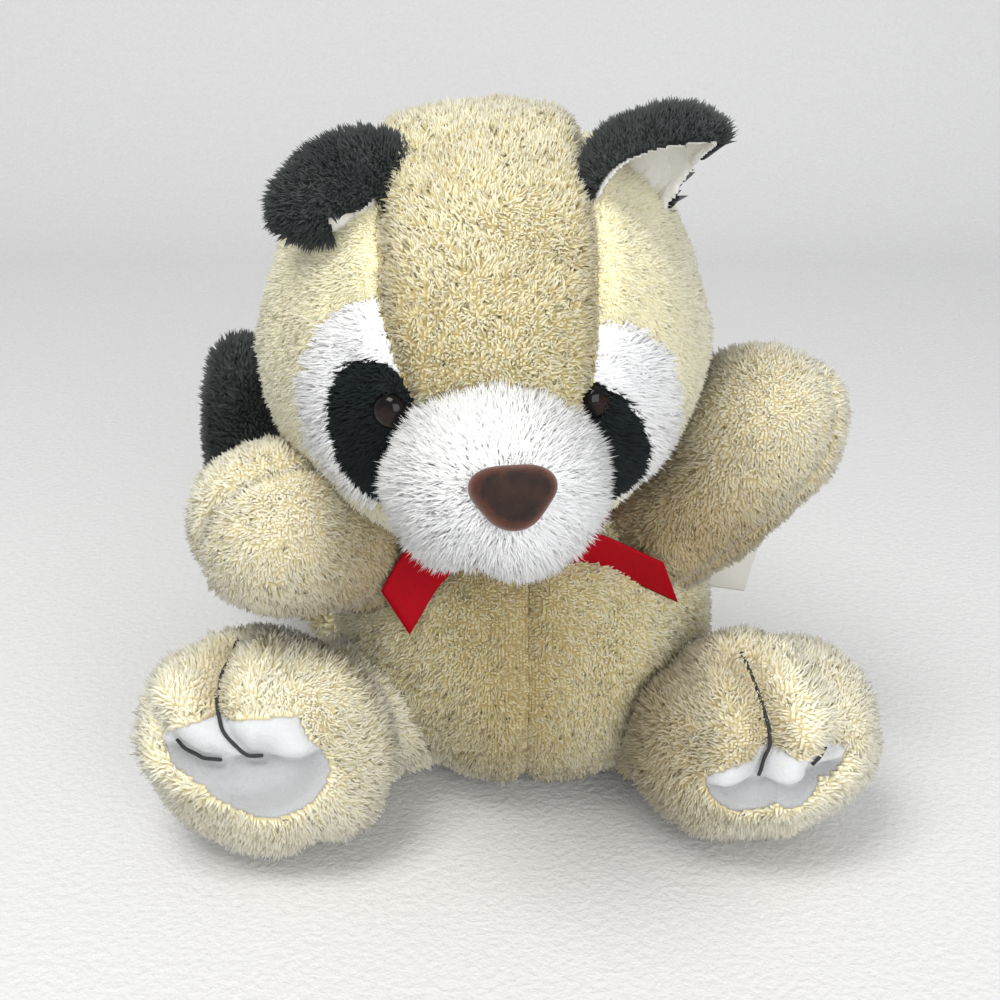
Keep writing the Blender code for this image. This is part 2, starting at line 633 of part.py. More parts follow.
def neck_band(steps=PATCH_SEGMENTS):
    """The ribbon's ring in the crease of the neck."""
    half = RIBBON_WIDTH / 2
    near = NECK_BAND_RADIUS - RIBBON_THICKNESS / 2
    far = NECK_BAND_RADIUS + RIBBON_THICKNESS / 2
    frame = neck_frame()
    bm = bmesh.new()
    loops = []
    for i in range(steps):
        turn = Matrix.Rotation(math.tau * i / steps, 4, 'Z')
        corners = ((near, -half), (far, -half), (far, half), (near, half))
        loops.append([bm.verts.new(frame @ turn @ Vector((r, 0, z))) for r, z in corners])
    for i in range(steps):
        one, two = loops[i], loops[(i + 1) % steps]
        for k in range(4):
            n = (k + 1) % 4
            bm.faces.new((one[k], one[n], two[n], two[k]))
    return bm


def strip(points, width_way):
    """A flat ribbon strip along a smooth curve, its width near the given direction."""
    path = [spot for spot, _ in curve_through(points, [0.0] * len(points), SMOOTH_STEPS)]
    bm = bmesh.new()
    loops = []
    for i, spot in enumerate(path):
        along = (path[min(i + 1, len(path) - 1)] - path[max(i - 1, 0)]).normalized()
        wide = (width_way - along * width_way.dot(along)).normalized() * RIBBON_WIDTH / 2
        thick = along.cross(wide).normalized() * RIBBON_THICKNESS / 2
        corners = (spot - wide - thick, spot + wide - thick, spot + wide + thick, spot - wide + thick)
        loops.append([bm.verts.new(corner) for corner in corners])
    for one, two in zip(loops, loops[1:]):
        for k in range(4):
            n = (k + 1) % 4
            bm.faces.new((one[k], one[n], two[n], two[k]))
    bm.faces.new(loops[0])
    bm.faces.new(loops[-1])
    return bm


def build_ribbon(guides):
    """One ribbon: the band round the neck, its knot and the two hanging tails."""
    spot = neck_frame().translation
    along = (HEAD_CENTRE - BODY_CENTRE).normalized()
    forward = Vector((0, -1, 0))
    forward = (forward - along * forward.dot(along)).normalized()
    spot += forward * (NECK_BAND_RADIUS + KNOT_RADII.y / 2)
    knot = guide("knot", ball(Matrix.Translation(spot), KNOT_RADII, 0.0, SMALL_SEGMENTS, SMALL_RINGS))
    left = guide("tie_left", strip([spot + point for point in TIE_LEFT], TIE_LEFT_WIDTH))
    right = guide("tie_right", strip([spot + point for point in TIE_RIGHT], TIE_RIGHT_WIDTH))
    piece("neck_ribbon", "red_ribbon", neck_band(), join=[knot, left, right],
          cut=[guides["body"], guides["head"]])


def build_label():
    """The bare cloth label at the body's side seam; its lower inner corner is sunk to the body's facets."""
    lean = Matrix.Rotation(LABEL_LEAN, 4, 'Y')
    corner = lean @ Vector((-LABEL_SIZE[0] / 2, 0.0, -LABEL_SIZE[1] / 2))
    rise = (LABEL_HEIGHT + corner.z - BODY_CENTRE.z) / BODY_RADII.z
    edge = BODY_CENTRE.x + BODY_RADII.x * math.sqrt(1.0 - rise ** 2)
    frame = Matrix.Translation((edge - LABEL_SUNK - corner.x, BODY_SIDE_SEAM, LABEL_HEIGHT)) @ lean
    piece("side_label", "label_cloth", slab(frame, (LABEL_SIZE[0], LABEL_THICKNESS, LABEL_SIZE[1])))


def main():
    """Build the raccoon from the inside out."""
    for obj in list(bpy.data.objects):
        bpy.data.objects.remove(obj, do_unlink=True)
    guides = common_guides()
    build_head(guides)
    build_ear("left", EAR_LEFT_PLACE, EAR_LEFT_TURN, guides)
    build_ear("right", EAR_RIGHT_PLACE, EAR_RIGHT_TURN, guides)
    build_body(guides)
    build_arm("left", ARM_LEFT, guides)
    build_arm("right", ARM_RIGHT, guides)
    build_leg("left", -1, HIP_LEFT, FOOT_LEFT, FOOT_LEFT_PITCH, SOLE_LEFT_RADII, SOLE_LEFT_RISE,
              STITCHES_LEFT, guides)
    build_leg("right", 1, HIP_RIGHT, FOOT_RIGHT, FOOT_RIGHT_PITCH, SOLE_RIGHT_RADII, SOLE_RIGHT_RISE,
              STITCHES_RIGHT, guides)
    build_tail(guides)
    build_ribbon(guides)
    build_label()


main()
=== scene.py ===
"""A seated plush raccoon, dressed: pile-cloth panels, glossy eyes, flocked nose, ribbon and label.

Metres, +Z up, the raccoon faces -Y. Left and right are the viewer's.
"""

import logging
import math
from dataclasses import dataclass, field
from enum import Enum
from typing import Callable, Dict, List, Optional, Sequence, Tuple, Union

import bmesh
import bpy
import numpy as np
from mathutils import Matrix, Vector
from mathutils.bvhtree import BVHTree
from mathutils.kdtree import KDTree


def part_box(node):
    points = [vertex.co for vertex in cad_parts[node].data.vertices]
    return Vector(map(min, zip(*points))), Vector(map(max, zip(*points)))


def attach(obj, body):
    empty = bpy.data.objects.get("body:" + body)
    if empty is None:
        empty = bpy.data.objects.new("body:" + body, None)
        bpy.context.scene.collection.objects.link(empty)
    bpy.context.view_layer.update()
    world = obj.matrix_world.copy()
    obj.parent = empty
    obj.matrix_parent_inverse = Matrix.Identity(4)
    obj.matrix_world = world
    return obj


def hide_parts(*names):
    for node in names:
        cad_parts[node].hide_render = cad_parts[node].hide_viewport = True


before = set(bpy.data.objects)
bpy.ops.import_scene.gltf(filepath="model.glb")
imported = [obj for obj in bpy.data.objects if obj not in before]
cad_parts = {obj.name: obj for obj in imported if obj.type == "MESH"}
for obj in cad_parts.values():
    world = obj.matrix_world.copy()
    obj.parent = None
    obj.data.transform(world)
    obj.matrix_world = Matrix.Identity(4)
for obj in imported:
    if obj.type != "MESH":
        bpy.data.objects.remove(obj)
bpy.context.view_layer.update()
LOG = logging.getLogger("raccoon")

Array = np.ndarray
Points = Sequence[Vector]
Colour = Tuple[float, float, float]
Socket = bpy.types.NodeSocket
Value = Union[float, Tuple[float, ...], Socket]

# Steps from one given point to the next, and squares across the ribbon
LIMB_STEPS = 7
STITCH_STEPS = 6
THREAD_STEPS = 8
RIBBON_STEPS = 8
RIBBON_CUTS = 12

# Pile cloth: its thickness, the squares of a skin, and how the far side's squares get larger
CLOTH_THICKNESS = 0.0010
FORM_VOXEL = 0.00093
SEAM_WIDTH = 0.0030
INNER_ANGLE = math.radians(10)
BACK_SHARE = 0.58
BACK_BLEND = 0.35
VIEW_WAY = np.array([0.0, -0.906, 0.423])

# How deep a skin lies in the next form before its faces are left out
COVERED = 0.002
EAR_JOINED = 0.005
JOINED = 0.006
NECK_JOINED = 0.008

# The lowest that a skin and a hair's tip come above the floor
SEAT_CLEAR = 0.0016
TIP_CLEAR = 0.0002

# The hairs' spread of lengths and of pull towards their clump
LENGTH_WAVE = 0.16
LENGTH_WAVE_SIZE = 0.007
LENGTH_SPREAD = (0.7, 1.15)
PULL_SPREAD = (0.5, 1.2)
PULL_MOST = 0.8

# Where a panel's outside, inside and edges lie in its flat map: low corner and size
OUTSIDE_MAP = (np.array([0.01, 0.27]), np.array([0.98, 0.72]))
INSIDE_MAP = (np.array([0.01, 0.01]), np.array([0.23, 0.23]))
EDGE_MAP = (np.array([0.26, 0.01]), np.array([0.73, 0.23]))

# Head
HEAD_CENTRE = Vector((-0.0043, -0.0178, 0.1443))
HEAD_RADII = Vector((0.0610, 0.0580, 0.0600))
HEAD_TURN = math.radians(4)
MUZZLE_OFFSET = Vector((-0.0008, -0.0575, -0.0182))
MUZZLE_RADII = Vector((0.0290, 0.0310, 0.0255))

# Body
BODY_CENTRE = Vector((0.0075, -0.0020, 0.0480))
BODY_RADII = Vector((0.0575, 0.0495, 0.0515))
BODY_SIDE_SEAM = 0.0040


class Comb(Enum):
    """How a pile is brushed."""

    DOWN = "down"
    UP = "up"
    FROM_POINT = "from_point"


def head_frame() -> Matrix:
    """The head's own frame: its centre, turned a little."""
    return Matrix.Translation(HEAD_CENTRE) @ Matrix.Rotation(HEAD_TURN, 4, 'Z')


def moved(points: Array, matrix: Matrix) -> Array:
    """Rows of points under a matrix."""
    m = np.array(matrix)
    return points @ m[:3, :3].T + m[:3, 3]


def unit(rows: Array) -> Array:
    """Rows made one long."""
    return rows / np.maximum(np.linalg.norm(rows, axis=1, keepdims=True), 1e-9)


def bell(distance: Array, width: float) -> Array:
    """A smooth bump: 1 at no distance, fading over a width."""
    return np.exp(-(distance / width) ** 2)


def wave(points: Array, size: float, seed: int, waves: int = 7) -> Array:
    """Smooth noise from -1 to 1.

    Args:
        points: Rows of points.
        size: The rough size of its lumps, in metres.
        seed: Which noise.
        waves: How many waves are added.

    Returns:
        One value for each row.
    """
    rng = np.random.default_rng(seed)
    total = np.zeros(len(points))
    for _ in range(waves):
        way = rng.normal(size=3)
        way *= math.tau / (size * 2 * np.linalg.norm(way)) * rng.uniform(0.6, 1.5)
        total += np.sin(points @ way + rng.uniform(0, math.tau))
    return total / math.sqrt(waves)


def segment_distance(points: Array, path: Points) -> Array:
    """The distance from each point to a line through the path's points.

    Args:
        points: Rows of points.
        path: The line's points in order.

    Returns:
        A distance for each row.
    """
    best = np.full(len(points), 1e9)
    for start, end in zip(path, path[1:]):
        a, b = np.array(start), np.array(end)
        along = b - a
        share = np.clip((points - a) @ along / (along @ along), 0, 1)
        best = np.minimum(best, np.linalg.norm(points - a - share[:, None] * along, axis=1))
    return best


def inside_ball(points: Array, place: Matrix, radii: Vector, spare: float = 0.0) -> Array:
    """Which points lie in an ellipsoid whose radii are grown by the spare."""
    local = moved(points, place.inverted())
    return ((local / (np.array(radii) + spare)) ** 2).sum(axis=1) < 1.0


def in_head(points: Array, depth: float) -> Array:
    """Which points lie deeper in the head than a depth."""
    return inside_ball(points, head_frame(), HEAD_RADII, -depth)


def in_body(points: Array, depth: float = JOINED) -> Array:
    """Which points lie deeper in the body than a depth."""
    return inside_ball(points, Matrix.Translation(BODY_CENTRE), BODY_RADII, -depth)


def curve_through(points: Points, steps: int) -> List[Vector]:
    """Points along a smooth curve through the given ones.

    Args:
        points: Points that the curve passes.
        steps: Steps between two of them.

    Returns:
        The curve's points, both ends among them.
    """
    ends = [2 * points[0] - points[1]] + list(points) + [2 * points[-1] - points[-2]]
    path = []
    for i in range(1, len(ends) - 2):
        a, b, c, d = ends[i - 1:i + 3]
        for k in range(steps):
            t = k / steps
            path.append(0.5 * (2 * b + (c - a) * t + (2 * a - 5 * b + 4 * c - d) * t ** 2
                               + (3 * b - a - 3 * c + d) * t ** 3))
    path.append(points[-1].copy())
    return path


# Materials


class Nodes:
    """A short way to add and join nodes in one tree."""

    def __init__(self, tree: bpy.types.NodeTree) -> None:
        """Hold the tree."""
        self.tree = tree

    def add(self, kind: str, inputs: Optional[Dict[Union[str, int], Value]] = None,
            **settings: object) -> bpy.types.Node:
        """Add a node, set its properties, and set or join its inputs.

        Args:
            kind: The node's type name, without ShaderNode.
            inputs: Values or sockets by input name or number.
            **settings: The node's own properties.

        Returns:
            The node.
        """
        node = self.tree.nodes.new(kind if kind.startswith("Node") else "ShaderNode" + kind)
        for name, value in settings.items():
            setattr(node, name, value)
        for name, value in (inputs or {}).items():
            if isinstance(value, Socket):
                self.tree.links.new(value, node.inputs[name])
            else:
                node.inputs[name].default_value = value
        return node

    def math(self, operation: str, a: Value, b: Value = 0.0, clamp: bool = False) -> Socket:
        """One Math node's result."""
        return self.add("Math", {0: a, 1: b}, operation=operation, use_clamp=clamp).outputs[0]

    def mix(self, share: Value, a: Value, b: Value, blend: str = 'MIX') -> Socket:
        """Two colours mixed."""
        return self.add("Mix", {0: share, 6: a, 7: b}, data_type='RGBA', blend_type=blend).outputs[2]

    def noise(self, where: Socket, scale: float, detail: float = 2.0, rough: float = 0.5) -> Socket:
        """A noise texture's value."""
        return self.add("TexNoise", {"Vector": where, "Scale": scale, "Detail": detail,
                                     "Roughness": rough}).outputs["Fac"]

    def ramp(self, value: Value, low: float, high: float) -> Socket:
        """A value spread from low..high to 0..1."""
        return self.add("MapRange", {"Value": value, "From Min": low, "From Max": high}).outputs[0]


@dataclass(frozen=True)
class Finish:
    """One material being made: its nodes and its shader."""

    material: bpy.types.Material
    nodes: Nodes
    shader: bpy.types.Node

    def set(self, **values: float) -> None:
        """Set inputs of the shader, whose names have underscores for spaces."""
        for name, value in values.items():
            self.shader.inputs[name.replace("_", " ")].default_value = value

    def join(self, socket: Socket, name: str) -> None:
        """Lead a socket into one of the shader's inputs."""
        self.material.node_tree.links.new(socket, self.shader.inputs[name])

    def bump(self, height: Socket, strength: float, depth: float) -> None:
        """Give the shader a bump.

        Args:
            height: The bump's height, from 0 to 1.
            strength: How much of it shows.
            depth: How deep it is, in metres.
        """
        node = self.nodes.add("Bump", {"Height": height, "Strength": strength, "Distance": depth})
        self.join(node.outputs[0], "Normal")


def rgba(colour: Colour) -> Tuple[float, float, float, float]:
    """A colour with its alpha."""
    return (*colour, 1.0)


def new_group(name: str, inputs: Dict[str, str], outputs: Dict[str, str]) -> bpy.types.NodeTree:
    """A new shader node group with named sockets.

    Args:
        name: The group's name.
        inputs: Kinds of its inputs by name.
        outputs: Kinds of its outputs by name.

    Returns:
        The empty group.
    """
    tree = bpy.data.node_groups.new(name, 'ShaderNodeTree')
    for where, sockets in (('INPUT', inputs), ('OUTPUT', outputs)):
        for socket, kind in sockets.items():
            tree.interface.new_socket(socket, in_out=where, socket_type="NodeSocket" + kind)
    return tree


def pile_group() -> bpy.types.NodeTree:
    """Pile colour: painted shade between the hairs, darker towards their roots; paler at their tips; flecked
    and blotched; darker still where the tone paints shade.

    Returns:
        The group, made once.
    """
    found = bpy.data.node_groups.get("pile_colour")
    if found:
        return found
    tree = new_group("pile_colour",
                     {"Root": "Color", "Middle": "Color", "Tip": "Color", "Fleck": "Color",
                      "Shade": "Color", "Fleck Amount": "Float", "Blotch": "Float",
                      "Strand Contrast": "Float"},
                     {"Colour": "Color"})
    n = Nodes(tree)
    given = n.add("NodeGroupInput").outputs
    where = n.add("TexCoord").outputs["Object"]
    tip = n.add("Attribute", attribute_name="tip").outputs["Fac"]
    strand = n.add("Attribute", attribute_name="strand").outputs["Fac"]
    # The tone attribute is painted shade, from 0 to 1
    tone = n.add("Attribute", attribute_name="tone").outputs["Fac"]
    fine = n.noise(where, 1900.0, 1.0)
    # Painted shade: darker from the tips down to the roots, deep between the hairs
    low = n.mix(n.ramp(tip, 0.05, 0.45), given["Root"], given["Middle"])
    dust = n.math('MULTIPLY', n.math('SUBTRACT', fine, 0.5), 0.5)
    pale = n.math('ADD', n.ramp(tip, 0.30, 0.95), dust, True)
    body = n.mix(pale, low, given["Tip"])
    grain = n.noise(where, 520.0, 3.0, 0.65)
    flecks = n.ramp(n.math('ADD', grain, n.math('MULTIPLY', strand, 0.18)), 0.53, 0.70)
    broad = n.ramp(n.noise(where, 60.0, 2.0), 0.35, 0.65)
    # The flecks grow denser where the tone paints shade
    patches = n.math('ADD', broad, n.math('MULTIPLY', tone, 0.5), True)
    flecked = n.mix(n.math('MULTIPLY', n.math('MULTIPLY', flecks, patches), given["Fleck Amount"], True),
                    body, given["Fleck"])
    single = n.math('MULTIPLY', n.math('SUBTRACT', strand, 0.5), given["Strand Contrast"])
    light = n.math('ADD', 1.0, single)
    wide = n.math('ADD', light, n.math('MULTIPLY', n.math('SUBTRACT', n.noise(where, 34.0, 2.0), 0.5),
                                       given["Blotch"]))
    grey = n.add("CombineColor", {0: wide, 1: wide, 2: wide}).outputs[0]
    # Painted shade: the tone multiplies in the Shade colour
    shaded = n.mix(tone, flecked, n.mix(1.0, flecked, given["Shade"], 'MULTIPLY'))
    result = n.mix(1.0, shaded, grey, 'MULTIPLY')
    n.add("NodeGroupOutput", {"Colour": result})
    return tree


def soft_normal(n: Nodes, share: float) -> Socket:
    """The pile's normals, turned a share of the way to those of the cloth under it.

    Args:
        n: The material's nodes.
        share: How far they turn, from 0 to 1.

    Returns:
        The socket with the turned normals.
    """
    nap = n.add("Attribute", attribute_name="nap").outputs["Vector"]
    own = n.add("NewGeometry").outputs["Normal"]
    under = n.add("VectorMath", {0: nap, "Scale": share}, operation='SCALE').outputs[0]
    kept = n.add("VectorMath", {0: own, "Scale": 1.0 - share}, operation='SCALE').outputs[0]
    both = n.add("VectorMath", {0: under, 1: kept}, operation='ADD').outputs[0]
    return n.add("VectorMath", {0: both}, operation='NORMALIZE').outputs[0]


@dataclass(frozen=True)
class PileFinish:
    """The look of one pile cloth."""

    name: str
    # The root is darker than the tip: painted shade deep between the hairs
    root: Colour
    middle: Colour
    tip: Colour
    fleck: Colour
    fleck_amount: float = 0.5
    blotch: float = 0.10
    contrast: float = 0.25
    sheen: float = 0.25
    roughness: float = 0.85
    slot: str = "tan_pile"
    soft: float = 0.35
    blur: float = 0.80
    # The shade colour is multiplied in as painted shade where a panel's tone is high
    shade: Colour = (0.62, 0.58, 0.50)
    bump: float = 0.0

    def material(self) -> bpy.types.Material:
        """The material, made once.

        Returns:
            The material, which every panel of this cloth shares.
        """
        found = bpy.data.materials.get(self.name)
        if found:
            return found
        made = principled(self.name, self.roughness)
        n = made.nodes
        group = n.add("Group", node_tree=pile_group())
        for socket, value in (("Root", rgba(self.root)), ("Middle", rgba(self.middle)),
                              ("Tip", rgba(self.tip)), ("Fleck", rgba(self.fleck)),
                              ("Shade", rgba(self.shade)), ("Fleck Amount", self.fleck_amount),
                              ("Blotch", self.blotch), ("Strand Contrast", self.contrast)):
            group.inputs[socket].default_value = value
        made.join(group.outputs["Colour"], "Base Color")
        lie = soft_normal(n, self.blur)
        if self.bump:
            nap = n.noise(n.add("TexCoord").outputs["Object"], 1500.0, 3.0, 0.7)
            lie = n.add("Bump", {"Height": nap, "Strength": self.bump, "Distance": 0.0006,
                                 "Normal": lie}).outputs[0]
        made.join(lie, "Normal")
        made.set(Sheen_Weight=self.sheen, Sheen_Roughness=0.5, Specular_IOR_Level=0.2,
                 Subsurface_Weight=self.soft, Subsurface_Scale=0.0025)
        made.shader.inputs["Subsurface Radius"].default_value = (1.0, 0.85, 0.65)
        return made.material


def principled(name: str, roughness: float) -> Finish:
    """A new material with its Principled shader.

    Args:
        name: The material's name.
        roughness: How dull it is.

    Returns:
        The material, its nodes and its shader.
    """
    made = bpy.data.materials.new(name)
    made.use_nodes = True
    found = Finish(made, Nodes(made.node_tree), made.node_tree.nodes["Principled BSDF"])
    found.set(Roughness=roughness)
    return found


# Each finish: a darker root as painted shade deep in the pile, and a shade colour for painted shade
TAN = PileFinish(
    "tan_pile_cloth", root=(0.46, 0.37, 0.17), middle=(0.66, 0.57, 0.31), tip=(0.86, 0.82, 0.61),
    fleck=(0.48, 0.38, 0.17), fleck_amount=0.80, blotch=0.14, contrast=0.20)
CREAM = PileFinish(
    "cream_pile_cloth", root=(0.76, 0.67, 0.37), middle=(0.88, 0.80, 0.49), tip=(0.94, 0.89, 0.61),
    fleck=(0.74, 0.64, 0.36), fleck_amount=0.35, blotch=0.08, contrast=0.08, slot="cream_pile",
    shade=(0.58, 0.52, 0.46))
FOOT = PileFinish(
    "foot_pile_cloth", root=(0.60, 0.51, 0.29), middle=(0.82, 0.75, 0.51), tip=(0.94, 0.91, 0.72),
    fleck=(0.60, 0.50, 0.27), fleck_amount=0.70, blotch=0.20, contrast=0.12, slot="cream_pile",
    shade=(0.50, 0.43, 0.34))
WHITE = PileFinish(
    "white_pile_cloth", root=(0.90, 0.90, 0.88), middle=(0.95, 0.95, 0.935), tip=(0.97, 0.97, 0.955),
    fleck=(0.90, 0.90, 0.87), fleck_amount=0.20, blotch=0.03, contrast=0.03, slot="white_pile",
    soft=0.25, blur=0.88)
SOLE = PileFinish(
    "sole_nap_cloth", root=(0.56, 0.57, 0.58), middle=(0.62, 0.63, 0.65), tip=(0.70, 0.71, 0.73),
    fleck=(0.46, 0.47, 0.49), fleck_amount=0.45, blotch=0.08, contrast=0.08, slot="sole_cloth",
    shade=(0.58, 0.58, 0.58), bump=0.5)
LINING = PileFinish(
    "ear_lining_cloth", root=(0.74, 0.74, 0.73), middle=(0.84, 0.84, 0.83), tip=(0.92, 0.92, 0.92),
    fleck=(0.62, 0.62, 0.62), fleck_amount=0.40, blotch=0.08, contrast=0.08, slot="white_pile", bump=0.5)
BLACK = PileFinish(
    "black_pile_cloth", root=(0.003, 0.0035, 0.004), middle=(0.009, 0.011, 0.011), tip=(0.034, 0.040, 0.040),
    fleck=(0.085, 0.095, 0.092), fleck_amount=0.40, blotch=0.05, contrast=0.50, sheen=0.14, roughness=0.8,
    slot="black_pile", soft=0.0)
JET = PileFinish(
    "jet_pile_cloth", root=(0.002, 0.003, 0.003), middle=(0.004, 0.006, 0.006), tip=(0.010, 0.016, 0.016),
    fleck=(0.020, 0.026, 0.026), fleck_amount=0.35, blotch=0.05, contrast=0.50, sheen=0.03, roughness=0.9,
    slot="black_pile", soft=0.0)


def eye_material() -> bpy.types.Material:
    """Dark glossy plastic with a brown iris.

    Returns:
        The material.
    """
    made = principled("eye_plastic_gloss", 0.08)
    n = made.nodes
    where = n.add("TexCoord").outputs["Object"]
    depth = n.add("Attribute", attribute_name="tone").outputs["Fac"]
    swirl = n.noise(where, 900.0, 3.0)
    brown = n.mix(swirl, (0.008, 0.005, 0.004, 1), (0.020, 0.010, 0.007, 1))
    colour = n.mix(n.ramp(depth, 0.45, 0.60), (0.004, 0.003, 0.003, 1), brown)
    made.join(colour, "Base Color")
    made.set(Specular_IOR_Level=0.18)
    rough = n.ramp(n.noise(where, 1500.0, 2.0), 0.0, 9.0)
    made.join(n.math('ADD', 0.04, rough), "Roughness")
    return made.material


def nose_material() -> bpy.types.Material:
    """Dark red-brown flock, paler and redder round the rim.

    Returns:
        The material.
    """
    made = principled("nose_flock_velvet", 0.9)
    n = made.nodes
    where = n.add("TexCoord").outputs["Object"]
    rim = n.add("Attribute", attribute_name="tone").outputs["Fac"]
    patch = n.noise(where, 260.0, 3.0, 0.6)
    fine = n.noise(where, 3600.0, 1.0)
    dark = n.mix(n.ramp(patch, 0.35, 0.70), (0.010, 0.005, 0.004, 1), (0.030, 0.014, 0.009, 1))
    paler_rim = n.math('ADD', rim, n.math('MULTIPLY', n.math('SUBTRACT', patch, 0.5), 0.9), True)
    colour = n.mix(n.ramp(paler_rim, 0.35, 0.95), dark, (0.120, 0.028, 0.012, 1))
    colour = n.mix(n.math('MULTIPLY', fine, 0.40), colour, (0.030, 0.014, 0.010, 1))
    made.join(colour, "Base Color")
    made.set(Sheen_Weight=0.25, Sheen_Roughness=0.4, Specular_IOR_Level=0.3)
    made.bump(fine, strength=0.6, depth=0.0003)
    return made.material


def weave_group() -> bpy.types.NodeTree:
    """A plain weave from a piece's cloth_mm attribute, in millimetres.

    Returns:
        The group, made once, with the weave's height and its painted shade, darker between the threads.
    """
    found = bpy.data.node_groups.get("plain_weave")
    if found:
        return found
    tree = new_group("plain_weave", {"Across": "Float", "Along": "Float"},
                     {"Height": "Float", "Shade": "Float"})
    n = Nodes(tree)
    given = n.add("NodeGroupInput").outputs
    where = n.add("Attribute", attribute_name="cloth_mm").outputs["Vector"]
    axes = n.add("SeparateXYZ", {0: where}).outputs
    u = n.math('MULTIPLY', axes[0], given["Across"])
    v = n.math('MULTIPLY', axes[1], given["Along"])
    rib = n.math('ABSOLUTE', n.math('SINE', n.math('MULTIPLY', u, math.pi)))
    rung = n.math('ABSOLUTE', n.math('SINE', n.math('MULTIPLY', v, math.pi)))
    parity = n.math('MODULO', n.math('ADD', n.math('FLOOR', u), n.math('FLOOR', v)), 2.0)
    height = n.math('ADD', n.math('MULTIPLY', rib, n.math('ADD', 0.45, n.math('MULTIPLY', parity, 0.3))),
                    n.math('MULTIPLY', rung, n.math('SUBTRACT', 0.55, n.math('MULTIPLY', parity, 0.3))))
    # The Shade output is painted shade, low between the threads
    n.add("NodeGroupOutput", {"Height": height, "Shade": n.ramp(height, 0.15, 0.9)})
    return tree


def woven_material(name: str, dark: Colour, pale: Colour, across: float, along: float, roughness: float,
                   sheen: float) -> bpy.types.Material:
    """A woven cloth.

    Args:
        name: The material's name.
        dark: Colour between the threads, painted there as shade, and in random faded patches.
        pale: Colour on top of them.
        across: Threads a millimetre across the width.
        along: Threads a millimetre along the length.
        roughness: How dull it is.
        sheen: The fuzz on it.

    Returns:
        The material.
    """
    made = principled(name, roughness)
    n = made.nodes
    where = n.add("TexCoord").outputs["Object"]
    weave = n.add("Group", {"Across": across, "Along": along}, node_tree=weave_group()).outputs
    # Painted shade: dark between the threads, pale on them
    colour = n.mix(weave["Shade"], rgba(dark), rgba(pale))
    fade = n.ramp(n.noise(where, 90.0, 2.0), 0.3, 0.7)
    colour = n.mix(n.math('MULTIPLY', fade, 0.25), colour, rgba(dark))
    made.join(colour, "Base Color")
    made.set(Sheen_Weight=sheen, Specular_IOR_Level=0.08)
    made.bump(weave["Height"], strength=0.5, depth=0.0001)
    return made.material


def thread_material() -> bpy.types.Material:
    """Black embroidery cotton with painted shade between its plies, which are a little paler on top.

    Returns:
        The material.
    """
    made = principled("black_thread_cotton", 0.7)
    n = made.nodes
    where = n.add("TexCoord").outputs["Object"]
    # The tone is high on the plies' crests: painted shade darkens the grooves between them
    ply_painted_shade = n.add("Attribute", attribute_name="tone").outputs["Fac"]
    fuzz = n.noise(where, 2600.0, 3.0, 0.7)
    colour = n.mix(n.math('MULTIPLY', ply_painted_shade, fuzz), (0.004, 0.004, 0.005, 1), (0.030, 0.030, 0.036, 1))
    made.join(colour, "Base Color")
    made.set(Sheen_Weight=0.1)
    made.bump(fuzz, strength=0.5, depth=0.0002)
    return made.material


def plain_material(name: str, low: Colour, high: Colour, scale: float, roughness: float,
                   bump_depth: float) -> bpy.types.Material:
    """A mottled material with a grain, for the parts inside.

    Args:
        name: The material's name.
        low: Its darker colour.
        high: Its paler colour.
        scale: How fine the grain is.
        roughness: How dull it is.
        bump_depth: How deep the grain looks.

    Returns:
        The material.
    """
    made = principled(name, roughness)
    n = made.nodes
    where = n.add("TexCoord").outputs["Object"]
    grain = n.noise(where, scale, 4.0, 0.6)
    made.join(n.mix(grain, rgba(low), rgba(high)), "Base Color")
    made.bump(grain, strength=0.5, depth=bump_depth)
    return made.material


# Forms and pile


def mesh_from(bm: bmesh.types.BMesh, name: str) -> bpy.types.Mesh:
    """A bmesh written to a new mesh, and freed.

    Args:
        bm: The bmesh.
        name: The new mesh's name.

    Returns:
        The mesh.
    """
    mesh = bpy.data.meshes.new(name)
    bm.to_mesh(mesh)
    bm.free()
    return mesh


def add_object(name: str, data: bpy.types.ID) -> bpy.types.Object:
    """A new object in the scene.

    Args:
        name: The object's name.
        data: Its mesh, lamp or camera.

    Returns:
        The object.
    """
    obj = bpy.data.objects.new(name, data)
    bpy.context.scene.collection.objects.link(obj)
    return obj


def ball_at(bm: bmesh.types.BMesh, place: Matrix, radii: Sequence[float], fineness: int = 4) -> None:
    """Add an ellipsoid to a bmesh."""
    bmesh.ops.create_icosphere(bm, subdivisions=fineness, radius=1.0,
                               matrix=place @ Matrix.Diagonal((*radii, 1.0)))


def limb_balls(bm: bmesh.types.BMesh, points: Points, sizes: Sequence[float], inset: float) -> None:
    """Add a limb as a row of balls along a smooth curve.

    Args:
        bm: The bmesh.
        points: The limb's middle line.
        sizes: Its radius at each of those points.
        inset: How far it stays below those sizes, for the pile.
    """
    for i, spot in enumerate(curve_through(points, LIMB_STEPS)):
        at = i / LIMB_STEPS
        low = min(int(at), len(sizes) - 2)
        size = sizes[low] + (sizes[low + 1] - sizes[low]) * (at - low) - inset
        ball_at(bm, Matrix.Translation(spot), (size,) * 3, 3)


def back_shrink(points: Array, coarse: float) -> Array:
    """How far each point, seen from the middle, shrinks before the skin is squared: less in front.

    Args:
        points: Points round the middle.
        coarse: The share that is left at the far side.

    Returns:
        A share for each point, which depends on its direction alone.
    """
    facing = unit(points) @ VIEW_WAY
    blend = np.clip(-facing / BACK_BLEND, 0, 1)
    return 1.0 - (1.0 - coarse) * blend * blend * (3 - 2 * blend)


